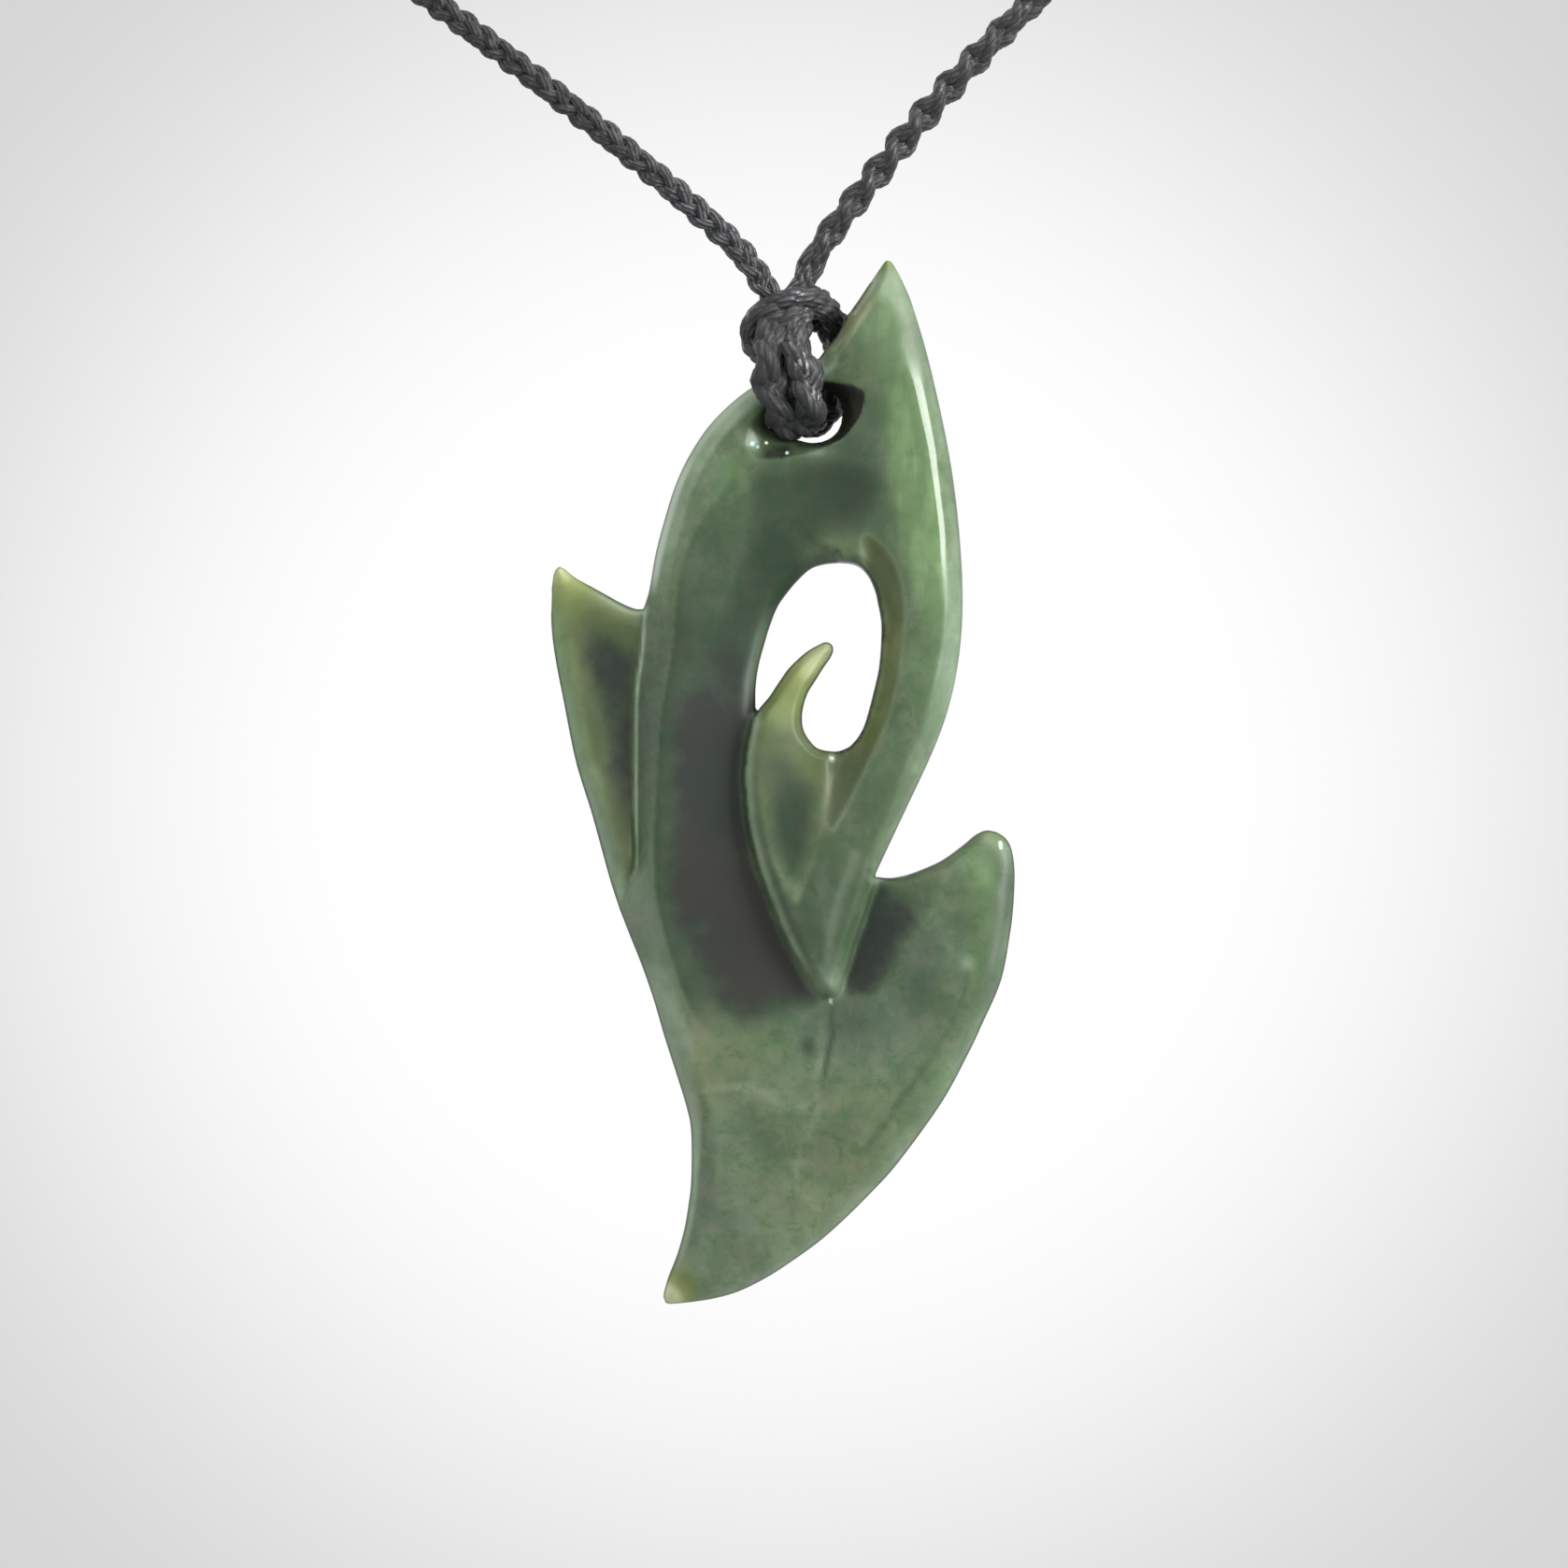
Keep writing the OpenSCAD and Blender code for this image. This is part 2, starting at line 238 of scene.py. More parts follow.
# The knot's runs, each with its width
KNOT_RUNS = [
    (3.0, [(-2.4, -0.2, 2.2), (-1.9, -0.2, 3.2), (-0.9, 0.0, 4.3)]),
    (1.6, [(0.3, 1.7, 4.7), (-1.6, 1.8, 4.3), (-3.0, 0.8, 4.1), (-3.1, -0.6, 4.3), (-1.9, -1.7, 4.9),
           (-0.3, -2.0, 5.3), (0.7, -1.3, 5.4), (1.2, 0.2, 5.1), (0.3, 1.5, 4.6)]),
    (1.7, [(-1.2, -1.6, 4.5), (-2.7, -1.8, 4.2), (-3.5, -1.0, 3.5), (-3.5, -0.4, 2.7), (-3.2, -0.8, 1.9),
           (-2.5, -1.5, 1.5)]),
    (1.9, [(-2.9, -1.6, 3.5), (-1.8, -2.4, 3.5), (-0.6, -2.3, 3.9), (0.2, -1.4, 4.2)]),
    (1.7, [(-2.4, -1.7, 2.4), (-1.2, -2.6, 2.5), (-0.4, -2.6, 3.0), (-0.2, -1.6, 3.6)]),
    (1.8, [(-0.2, -0.9, 4.6), (0.9, -0.6, 4.9), (1.65, 0.3, 4.6), (1.95, 1.5, 3.7), (2.0, 2.6, 2.7)]),
]
NECK_AXIS = np.array([0.0, 57.5, 0.0])
KNOT_CENTRE = np.array([-1.2, 0.0, 3.6])
NAPE = np.array([0.0, 115.0, 125.0])    # the middle of the cord at the nape


def unit(v):
    return v / np.linalg.norm(v, axis=-1, keepdims=True)


def crosswise(paths, out):
    """Two directions square to the paths and to each other: sideways, and the one nearest to out."""
    along = unit(np.gradient(paths, axis=-2))
    side = unit(np.cross(along, out))
    return side, np.cross(side, along)


def flat_plait(path, marks, out, width, pitch, swing=0.24, lift=0.15):
    """Three strands that swap places: each swings across the cord as the sine of its length, and in
    and out as the sine of twice that, a third of the pitch behind the one before."""
    side, up = crosswise(path, out)
    turn = 2 * np.pi * (marks / pitch + np.arange(3)[:, None] / 3)
    return (path + swing * width * np.sin(turn)[..., None] * side
            + lift * width * np.sin(2 * turn)[..., None] * up)


def round_plait(path, marks, out, width, pitch, reach=0.155, swell=0.055, lag=0.3):
    """Four strands, two winding each way, which cross in front, behind and at both sides, and a core:
    each goes over at one crossing and under at the next, so it swells in and out as the cosine of twice
    its turn. The turn lags by the square of its sine, which puts each bulge nearer to the next neck."""
    side, up = crosswise(path, out)
    turn = 2 * np.pi * marks / pitch
    turn = turn - lag * np.sin(turn) ** 2
    strands = [path]
    for way, start in ((1, 0.5), (1, 1.5), (-1, 0.5), (-1, 1.5)):
        angle = (way * turn + np.pi * start)[:, None]
        swing = width * (reach + way * swell * np.cos(2 * turn))[:, None]
        strands.append(path + swing * (np.cos(angle) * side + np.sin(angle) * up))
    return np.stack(strands)


def twisted(paths, marks, out, threads, offset, pitch):
    """Each path as that many threads, which go round it once in each pitch."""
    side, up = crosswise(paths, out)
    rounds = [2 * np.pi * (marks / pitch + k / threads) for k in range(threads)]
    return np.concatenate([paths + offset * (np.cos(turn)[:, None] * side + np.sin(turn)[:, None] * up)
                           for turn in rounds])


def tubes(paths, marks, out, radius, sides=8):
    """Round tubes: a ring square to each path at each of its points, flat at both ends. Also gives the
    turn round the tube, from 0 to 1, and the length along it at each corner of each face."""
    k, n = paths.shape[:2]
    side, up = crosswise(paths, out)
    turn = 2 * np.pi * np.arange(sides)[:, None] / sides
    ring = np.cos(turn) * side[:, :, None] + np.sin(turn) * up[:, :, None]
    points = paths[:, :, None] + ring * np.reshape(radius, (-1, 1, 1))
    number = np.arange(k * n * sides).reshape(k, n, sides)
    after = np.roll(number, -1, axis=2)
    walls = np.stack([number[:, :-1], number[:, 1:], after[:, 1:], after[:, :-1]], axis=-1)
    u = np.arange(sides) / sides + np.zeros((k, n - 1, 1))
    v = marks[:, None] + np.zeros((k, n, sides))
    ahead, low, high = u + 1 / sides, v[:, :-1], v[:, 1:]
    corners = [np.stack(pair, -1) for pair in ((u, low), (u, high), (ahead, high), (ahead, low))]
    strips = np.array([(i, i + 1, sides - 2 - i, sides - 1 - i) for i in range(sides // 2 - 1)])
    caps = np.concatenate([number[:, 0][:, strips], number[:, -1][:, strips[:, ::-1]]]).reshape(-1, 4)
    return (points.reshape(-1, 3), np.vstack([walls.reshape(-1, 4), caps]),
            np.vstack([np.stack(corners, axis=-2).reshape(-1, 2), np.zeros((caps.size, 2))]))


def together(meshes):
    """Several meshes as one: their points, faces and corners' places one after another."""
    points, faces, uv = zip(*meshes)
    starts = np.cumsum([0] + [len(p) for p in points[:-1]])
    return np.vstack(points), np.vstack([f + s for f, s in zip(faces, starts)]), np.vstack(uv)


def laid_run(route, width, pitch=3.6, offset=0.17, thick=0.33, step=0.22):
    """A short run of cord in the knot: three threads twisted round the route, narrowing to round ends.
    Each thread's offset from the route and its radius are shares of the run's width."""
    path, marks = even_steps(smooth_curve(route, 8), step)
    end = np.clip(np.minimum(marks, marks[-1] - marks) / (0.5 * width), 0.02, 1)
    swell = np.sqrt(1 - (1 - end) ** 2)
    out = path - KNOT_CENTRE
    threads = twisted(path[None], marks, out, 3, (offset * width * swell)[:, None], pitch)
    return tubes(threads, marks, out, thick * width * swell)


def plaited_run(route, weave, centre, width, pitch, level=False, step=0.3):
    """A run of plaited cord, each strand of it two threads, with its face turned away from a centre,
    or from an upright line through it where level is true."""
    path, marks = even_steps(smooth_curve(route, 8), step)
    out = (path - centre) * (1, 1, 0 if level else 1)
    strands = weave(path, marks, out, width, pitch)
    strand_width = width * (0.26 if weave is flat_plait else 0.29)
    threads = twisted(strands, marks, out, 2, 0.3 * strand_width, 0.9 * pitch)
    return tubes(threads, marks, out, 0.74 * strand_width)


def wound_run(turns=7.4, pitch=1.5, reach=1.88, tuck=0.7, thick=1.6):
    """Thread wound round the cord at the nape: a helix that draws in over the half turn at each end."""
    turn = np.linspace(-turns / 2, turns / 2, 180)
    swing = reach - tuck * smoothstep(turns / 2 - 0.5, turns / 2, np.abs(turn))
    angle = 2 * np.pi * turn
    helix = NAPE + np.stack([pitch * turn, swing * np.cos(angle), swing * np.sin(angle)], axis=1)
    path, marks = even_steps(helix, 0.3)
    return tubes(path[None], marks, (path - NAPE) * (0, 1, 1), thick / 2, 12)


def fibres(f):
    """Threads that wind round a tube, from the turn and length in its UV map: seven plies as a sine of
    the turn and length, and noise on a circle drawn out along the tube."""
    spot = f.add("ShaderNodeUVMap", {"uv_map": "length"})
    u, v = (f.add("ShaderNodeSeparateXYZ", {}, {0: spot}, axis) for axis in ("X", "Y"))
    turn = (u + v * 0.2) * (2 * math.pi)
    circle = {axis: f.add("ShaderNodeMath", {"operation": operation}, {0: turn}) * 3.0
              for axis, operation in (("X", "COSINE"), ("Y", "SINE"))}
    fuzz = f.noise(f.add("ShaderNodeCombineXYZ", {}, circle | {"Z": v * 0.8}), 1.6, 2.0)
    plies = f.add("ShaderNodeMath", {"operation": "SINE"}, {0: turn * 7.0 + fuzz * 3.0})
    return plies * 0.5 + 0.5, fuzz


def cord_finish(name, shine):
    """Black waxed thread: near black with faint brown, rubbed to grey in small specks, with painted shade in
    the grooves between its plies, painted bluish white glints where it is most rubbed, fine fibres along
    it and a dull shine."""
    black, brown, groove_shade = (0.031, 0.034, 0.036), (0.043, 0.039, 0.039), (0.030, 0.032, 0.034)
    grey, gleam = (0.150, 0.132, 0.138), (0.42, 0.48, 0.52)
    f = Finish(name, (0.02, 0.02, 0.02), Roughness=0.5, IOR=1.5, Specular_IOR_Level=0.3)
    where = f.place()
    tint = f.noise(where, 620.0, 2.0)
    wear = f.noise(where, 1500.0, 4.0, 0.62)
    wear_and_glint = f.attribute("wear_and_glint")
    plies, fuzz = fibres(f)
    colour = f.blend(tint.step(0.42, 0.64), black, brown)
    # Painted shade: darker in the grooves between the plies
    colour = f.blend(plies.step(0.35, 0.0) * 0.8, colour, groove_shade)
    colour = f.blend(wear.step(0.44, 0.58) * plies.step(0.1, 0.7) * wear_and_glint, colour, grey)
    # Painted glints: bluish white specks of highlight where the thread is most rubbed
    painted_glints = f.noise(where, 2600.0, 3.0).step(0.48, 0.58) * plies.step(0.3, 0.9) * wear_and_glint.step(0.6, 1.1)
    f.feed("Base Color", f.blend(painted_glints, colour, gleam))
    f.feed("Roughness", f.noise(where, 1100.0, 2.0).step(0.62, 0.42) * 0.25 + shine)
    f.feed("Normal", f.bump(plies * 0.6 + fuzz * 0.6 + wear * 0.4, 0.9, 0.00012))
    return f.material


def wear_and_glint_at(node, points):
    """How much wear and how many painted glints the thread has: along the neck cord they fade away from the
    pendant, and on the loops and the knot they are in spots on the front."""
    x, y, z = points.T
    if node == "neck_cord":
        return np.where(x < 0, 0.65, 0.3) * fade(x, 30) + 0.1
    spots = [share * np.exp(-((x - a) ** 2 + (z - b) ** 2) / r**2) for a, b, r, share in WEAR_AND_GLINT_SPOTS]
    return np.maximum.reduce(spots) * smoothstep(0.5, -1.5, y)


def cords():
    """The neck cord, a flat plait on the left and a round one on the right, the knot, the two loops
    that go through the stone, and the sliding knot at the nape."""
    dull, waxed = cord_finish("waxed_black_thread", 0.38), cord_finish("polished_black_thread", 0.22)
    left = plaited_run(LEFT_LEG, flat_plait, NECK_AXIS, width=1.85, pitch=4.5, level=True)
    right = plaited_run(RIGHT_LEG, round_plait, NECK_AXIS, width=2.15, pitch=5.1, level=True)
    loop_left = plaited_run(LEFT_LOOP, round_plait, (-2.0, 0.0, 0.0), width=2.8, pitch=5.6)
    loop_right = plaited_run(RIGHT_LOOP, round_plait, (0.6, 0.0, 0.0), width=2.8, pitch=5.4)
    knot = [laid_run(route, width) for width, route in KNOT_RUNS]
    for name, node, meshes, finish in (("plaited_neck_cord", "neck_cord", [left, right], dull),
                                       ("gathering_knot", "knot", knot, waxed),
                                       ("bar_loop_left", "hanging_loop_left", [loop_left], dull),
                                       ("bar_loop_right", "hanging_loop_right", [loop_right], waxed),
                                       ("nape_sliding_knot", "slide_knot", [wound_run()], dull)):
        points, faces, uv = together(meshes)
        wear_and_glint = {"wear_and_glint": wear_and_glint_at(node, points)}
        piece = mesh_object(name, points, faces, "necklace", node, wear_and_glint, uv)
        piece.data.materials.append(finish)
        if node == "neck_cord":
            piece.data.materials.append(waxed)
            on_the_right = (np.arange(len(faces)) >= len(left[1])).astype(np.int32)
            piece.data.polygons.foreach_set("material_index", on_the_right)
        print(name, len(faces) * 2, "triangles")


cords()


# The stone's lines and places

# The outline's lines, clockwise from the horn's tip, and the main opening's
OUTLINE = ("horn_right", "fin_top", "fin_right", "tail_left", "fin_left", "fin_left_top", "body_left",
           "horn_left")
OPENING = ("opening_left", "hook_back", "hook_inner", "strand_inner")
# The lines in (x, z): the outline's, the opening's, the rim of the slot for the cord and the hollow round
# it, and those where the facets meet
LINES = {
    "horn_right": [(5.5, 8.2), (5.9, 7.9), (6.5, 6.7), (7.1, 5.3), (7.8, 3.3), (8.4, 1.0), (8.9, -1.4),
                   (9.5, -3.9), (9.9, -6.4), (10.3, -9.6), (10.6, -14.7), (10.5, -17.7), (10.1, -20.1),
                   (9.6, -22.4), (8.8, -24.5), (7.4, -27.2), (5.7, -30.9), (5.1, -32.2), (4.6, -33.2)],
    "fin_top": [(4.6, -33.2), (5.7, -33.3), (6.8, -33.1), (7.9, -32.7), (9.0, -32.2), (9.9, -31.6),
                (10.8, -30.9), (11.4, -30.4), (12.1, -30.1), (12.8, -30.2)],
    "fin_right": [(12.8, -30.2), (13.4, -30.6), (13.8, -31.3), (14.0, -32.5), (14.0, -33.8),
                  (13.9, -35.4), (13.7, -37.0), (13.1, -40.1), (11.8, -43.1), (10.9, -45.0), (9.1, -48.3),
                  (6.2, -52.3), (4.4, -54.3), (2.6, -56.1), (0.9, -57.6), (-0.9, -58.9), (-2.6, -60.0),
                  (-4.4, -60.9), (-6.1, -61.4), (-7.9, -61.7), (-9.2, -61.8), (-9.4, -61.6)],
    "tail_left": [(-9.4, -61.6), (-9.5, -61.2), (-9.2, -60.1), (-8.6, -58.6), (-8.1, -56.9),
                  (-7.8, -55.2), (-7.6, -53.4), (-7.6, -50.3), (-7.9, -48.6), (-8.6, -46.3),
                  (-9.4, -43.8), (-10.1, -41.4), (-10.9, -39.1), (-11.7, -37.1), (-12.4, -35.3)],
    "fin_left": [(-12.4, -35.3), (-13.1, -33.1), (-14.2, -29.1), (-14.8, -27.2), (-15.4, -25.1),
                 (-16.2, -21.1), (-16.6, -19.1), (-16.9, -17.1), (-17.0, -15.4), (-17.0, -14.1),
                 (-16.9, -13.1), (-16.7, -12.6), (-16.4, -12.4)],
    "fin_left_top": [(-16.4, -12.4), (-16.0, -12.6), (-15.4, -13.1), (-14.4, -13.7), (-13.2, -14.4),
                     (-12.1, -15.0), (-11.3, -15.3), (-10.8, -15.3)],
    "body_left": [(-10.8, -15.3), (-10.6, -14.9), (-10.4, -14.2), (-10.2, -12.8), (-9.9, -11.2),
                  (-9.4, -9.4), (-8.7, -7.1), (-7.75, -5.05), (-7.2, -4.2), (-6.7, -3.4), (-6.1, -2.7),
                  (-5.4, -2.0), (-4.5, -1.2), (-3.4, -0.4), (-2.2, 0.2), (-0.8, 0.8), (0.9, 1.4)],
    "horn_left": [(0.9, 1.4), (1.3, 1.9), (2.1, 2.9), (2.8, 4.2), (3.3, 4.9), (4.1, 6.1), (4.7, 7.1),
                  (5.2, 7.9), (5.5, 8.2)],
    "opening_left": [(2.3, -12.2), (1.3, -12.3), (0.4, -12.6), (-0.4, -13.3), (-1.1, -14.1),
                     (-1.8, -15.1), (-2.3, -16.3), (-2.7, -17.6), (-3.1, -19.1), (-3.3, -20.6),
                     (-3.3, -22.4)],
    "hook_back": [(-3.3, -22.4), (-3.0, -21.9), (-2.4, -21.2), (-1.8, -20.3), (-1.1, -19.3),
                  (-0.4, -18.6), (0.2, -18.1), (0.9, -17.7), (1.4, -17.5), (1.8, -17.7), (1.9, -18.1),
                  (1.7, -18.6)],
    "hook_inner": [(1.7, -18.6), (1.2, -19.3), (0.7, -20.1), (0.2, -20.9), (-0.1, -21.8), (-0.2, -22.6),
                   (-0.1, -23.4), (0.3, -24.1), (0.8, -24.6), (1.5, -24.8), (2.3, -24.8), (3.0, -24.5)],
    "strand_inner": [(3.0, -24.5), (3.6, -23.8), (4.1, -22.7), (4.8, -20.0), (5.0, -18.8), (5.1, -17.4),
                     (5.1, -16.1), (4.9, -15.0), (4.7, -14.1), (4.3, -13.2), (3.8, -12.6), (3.2, -12.3),
                     (2.3, -12.2)],
    "slot": [(2.4, -3.0), (2.1, -3.6), (1.4, -4.1), (0.4, -4.25), (-0.6, -4.0), (-1.6, -3.7),
             (-2.3, -3.35), (-2.7, -2.9), (-2.4, -2.4), (-1.2, -1.6), (0.2, -1.0), (1.4, -0.8),
             (2.2, -1.2), (2.5, -2.1), (2.4, -3.0)],
    "slot_sink": [(0.4, -0.3), (1.4, -0.25), (2.8, -0.4), (3.5, -0.7), (3.95, -1.1), (3.9, -1.8),
                  (3.6, -2.7), (3.0, -3.5), (2.4, -4.1), (1.6, -4.5), (0.7, -4.9), (-0.5, -5.25),
                  (-1.8, -5.45), (-2.9, -5.45), (-3.7, -5.1), (-4.1, -4.5), (-3.8, -3.4), (-3.0, -2.3),
                  (-1.6, -1.2), (0.4, -0.3)],
    "fin_step": [(-10.8, -15.3), (-11.0, -18.2), (-11.3, -20.4), (-11.4, -23.1), (-11.4, -28.6),
                 (-11.4, -32.4), (-11.8, -33.4), (-12.4, -35.3)],
    "facet": [(4.0, -12.8), (3.75, -11.8), (3.65, -10.6), (4.0, -10.2), (4.9, -10.9), (5.7, -11.8),
              (6.3, -13.2), (6.6, -15.0), (6.6, -16.8), (6.4, -18.8), (6.0, -20.8), (5.6, -22.4),
              (5.0, -23.9), (4.3, -25.4), (3.6, -26.8), (3.0, -28.1), (2.4, -29.2), (1.8, -30.1)],
    "ridge": [(1.9, -24.8), (1.85, -25.6), (1.7, -26.6), (1.5, -27.9), (1.3, -29.4), (0.9, -31.2),
              (0.3, -33.0)],
    "leaf_left": [(-3.3, -22.4), (-3.7, -24.2), (-3.9, -25.8), (-3.9, -27.2), (-3.7, -29.4),
                  (-3.4, -30.9), (-2.9, -32.8), (-2.2, -34.7), (-1.4, -36.7), (-0.6, -38.3), (0.1, -39.6),
                  (0.8, -40.6), (1.5, -41.1)],
    "leaf_right": [(1.5, -41.1), (2.1, -40.8), (2.4, -39.8), (2.8, -38.6), (3.1, -37.5), (3.7, -35.9),
                   (4.2, -34.3), (4.6, -33.2)],
    "leaf_rim": [(-0.5, -20.8), (-1.5, -22.4), (-2.3, -24.2), (-2.8, -26.0), (-2.8, -28.0), (-2.6, -30.0),
                 (-2.1, -32.0), (-1.3, -34.0), (-0.5, -34.9)],
    "hollow_crest": [(-4.8, -6.5), (-5.5, -7.8), (-6.8, -9.3), (-7.7, -10.9), (-8.3, -12.6),
                     (-8.6, -15.2), (-8.9, -18.2), (-9.3, -20.5), (-9.6, -22.5), (-9.9, -26.4),
                     (-10.0, -29.6), (-10.1, -32.1), (-10.0, -34.4), (-9.5, -36.6), (-8.9, -38.6),
                     (-8.1, -41.0), (-6.5, -43.6), (-4.0, -45.4), (-1.0, -46.4), (2.4, -45.8),
                     (5.6, -43.4), (8.0, -40.0), (9.6, -36.4), (10.2, -33.8), (9.6, -32.0)],
    "strand_crest": [(5.5, 7.6), (5.8, 5.8), (6.4, 3.7), (7.0, 2.0), (7.45, 0.4), (7.95, -1.6),
                     (8.4, -3.4), (8.8, -5.8), (9.25, -8.8), (9.55, -12.0), (9.6, -15.0), (9.35, -18.0),
                     (8.7, -20.8), (7.9, -23.4), (6.7, -26.4), (5.3, -29.6), (4.4, -32.0)],
    "fin_crest": [(10.9, -38.6), (10.5, -41.1), (9.5, -43.2), (8.4, -45.1), (7.3, -46.7), (6.0, -48.4),
                  (5.2, -49.8), (3.6, -51.6)],
}
# Lines that are averaged along their length: (line, width in mm, how many of its first points stay)
EASED = [("horn_right", 2.4, 15), ("strand_crest", 2.6, 0), ("hollow_crest", 1.0, 0), ("body_left", 0.7, 0),
         ("facet", 0.5, 0)]
# Where the strand's area ends in the body, from under the slot to the opening's top
STRAND_ROOT = [(1.0, -3.0), (1.5, -8.0), (2.3, -12.2)]

# Patches of colour, painted shade and painted light: closed lines that each patch fades across
DEEP = [(-3.6, -6.4), (-1.0, -5.7), (2.0, -5.3), (4.6, -5.6), (5.3, -7.4), (4.6, -9.2), (3.2, -10.2),
        (1.1, -10.6), (0.4, -11.6), (0.6, -14.2), (-1.0, -18.3), (-2.0, -24.6), (-1.6, -30.8),
        (0.0, -36.1), (2.0, -40.9), (-0.1, -42.2), (-2.0, -42.6), (-3.9, -43.1), (-5.6, -42.5),
        (-7.4, -40.9), (-8.8, -37.6), (-9.6, -34.9), (-9.8, -31.8), (-9.6, -26.4), (-9.5, -23.0),
        (-9.1, -20.0), (-8.2, -17.4), (-6.6, -15.6), (-5.0, -12.7), (-3.8, -9.2)]
DARK = [(-6.8, -18.2), (-4.6, -15.6), (-2.0, -16.6), (-2.2, -24.6), (-2.0, -30.8), (-1.0, -33.9),
        (0.5, -37.1), (2.0, -41.2), (-0.4, -41.2), (-1.8, -40.9), (-2.7, -41.3), (-3.7, -42.2),
        (-4.7, -41.8), (-5.7, -40.8), (-6.7, -39.3), (-7.7, -37.6), (-8.4, -36.0), (-8.8, -34.0),
        (-8.7, -30.6), (-8.6, -27.1), (-8.7, -23.7), (-8.3, -21.4), (-7.7, -19.7)]
DARK_RIGHT = [(2.9, -33.3), (4.9, -33.2), (6.9, -33.3), (8.3, -33.4), (8.9, -33.9), (7.9, -35.6),
              (7.1, -36.9), (6.3, -38.2), (5.3, -39.8), (4.0, -40.9), (2.8, -41.4), (1.6, -40.2),
              (2.2, -36.8)]
LEAF_DARK = [(-2.6, -24.2), (-2.8, -25.2), (-2.7, -27.2), (-2.6, -28.7), (-2.3, -30.7), (-1.8, -32.1),
             (-1.25, -33.3), (-0.45, -34.3), (-0.1, -32.6), (0.3, -30.9), (0.6, -29.7), (0.8, -28.5),
             (0.9, -27.2), (0.2, -26.0), (-0.8, -24.8), (-1.8, -24.0)]
# Painted light: the brighter green where light comes through the strand's right side
BRIGHT = [(5.5, 8.4), (4.8, 6.8), (4.0, 4.9), (3.7, 2.9), (4.6, 0.9), (5.3, -1.1), (5.5, -3.9),
          (5.8, -6.9), (6.2, -9.4), (6.8, -12.1), (7.8, -15.2), (8.2, -17.6), (8.9, -18.2), (9.4, -14.6),
          (9.3, -12.0), (9.0, -8.8), (8.5, -5.8), (8.2, -3.4), (7.8, -1.6), (7.3, 0.4), (6.9, 2.0),
          (6.4, 4.8), (5.9, 7.4)]

# Soft round spots: (x, z, half width, half height, share)
SHADE_SPOTS = [(4.4, -2.2, 1.6, 2.4, 0.45), (3.4, -5.0, 2.2, 2.0, 0.6), (-0.6, -11.2, 1.2, 0.9, 0.5),
               (4.6, -9.4, 1.6, 1.6, 0.35), (2.6, -42.6, 3.6, 2.0, 0.65), (7.4, -40.6, 2.6, 3.0, 0.6),
               (0.2, -44.4, 0.6, 0.8, 0.9), (-1.9, -26.0, 1.3, 1.3, 0.8), (8.4, -37.6, 1.2, 1.6, 0.6),
               (6.8, -40.2, 1.5, 1.2, 0.5), (-0.6, -25.8, 1.8, 1.6, 0.4), (2.0, -50.6, 1.6, 1.4, 0.3),
               (10.4, -35.8, 2.4, 3.6, 0.3), (-2.0, -43.6, 1.0, 0.8, 0.4), (7.6, -37.4, 2.2, 2.2, 0.45),
               (-2.4, -50.6, 2.2, 2.4, 0.25)]
WARM_SPOTS = [(2.2, -51.6, 2.4, 2.2, 0.6), (-6.8, -44.6, 1.2, 3.2, 0.9), (5.0, -50.0, 1.6, 2.6, 0.4),
              (-5.4, -44.8, 3.0, 1.6, 0.7), (-2.6, -55.0, 3.4, 3.0, 0.35), (1.4, -55.2, 4.0, 1.6, 0.7),
              (-6.6, -47.0, 1.8, 2.2, 0.7), (1.8, -47.8, 2.2, 1.4, 0.5), (2.6, -10.8, 1.8, 0.9, 0.45),
              (4.2, -0.2, 1.4, 1.6, 0.4)]
COOL_SPOTS = [(3.2, -43.4, 4.4, 2.6, 0.9), (-5.6, -55.6, 2.6, 3.6, 0.8), (-3.4, -12.0, 1.6, 1.4, 0.8),
              (8.2, -38.6, 2.4, 2.6, 0.8), (-5.2, -50.4, 1.6, 1.6, 0.6), (3.6, -6.4, 1.6, 3.4, 0.9),
              (-10.4, -23.0, 1.0, 4.6, 0.8), (-10.2, -35.6, 1.2, 3.0, 0.7)]
LEAFY_SPOTS = [(-4.8, -6.3, 0.8, 1.3, 1.0), (-6.2, -8.6, 0.9, 0.9, 0.8), (-7.6, -14.4, 1.6, 2.2, 0.7),
               (-3.2, -2.6, 1.0, 0.8, 0.7), (-3.0, -44.6, 1.2, 0.9, 0.8), (7.0, -34.2, 2.6, 0.7, 0.9),
               (-9.5, -30.6, 0.6, 6.2, 0.8), (-8.4, -38.6, 0.7, 3.0, 0.8), (11.6, -37.6, 0.9, 5.4, 0.9),
               (12.0, -33.6, 1.5, 2.8, 1.0), (3.0, -36.2, 0.8, 3.2, 0.9), (8.4, -20.6, 1.4, 3.4, 0.7),
               (-5.2, -9.6, 1.6, 1.8, 0.5), (-2.0, -44.0, 2.0, 1.4, 0.6), (9.2, -46.0, 1.4, 3.0, 0.6)]
# Painted light: pale spots on the thin tips and round the glints
PALE_SPOTS = [(10.8, -38.9, 0.5, 0.5, 0.5), (0.7, -4.95, 0.7, 0.3, 0.5), (-3.4, -4.5, 0.5, 0.5, 0.4),
              (-9.2, -61.0, 2.2, 2.2, 0.35), (1.4, -40.1, 1.1, 1.1, 0.35), (5.6, 6.8, 1.6, 2.0, 0.45),
              (12.8, -31.2, 1.1, 1.1, 0.2)]
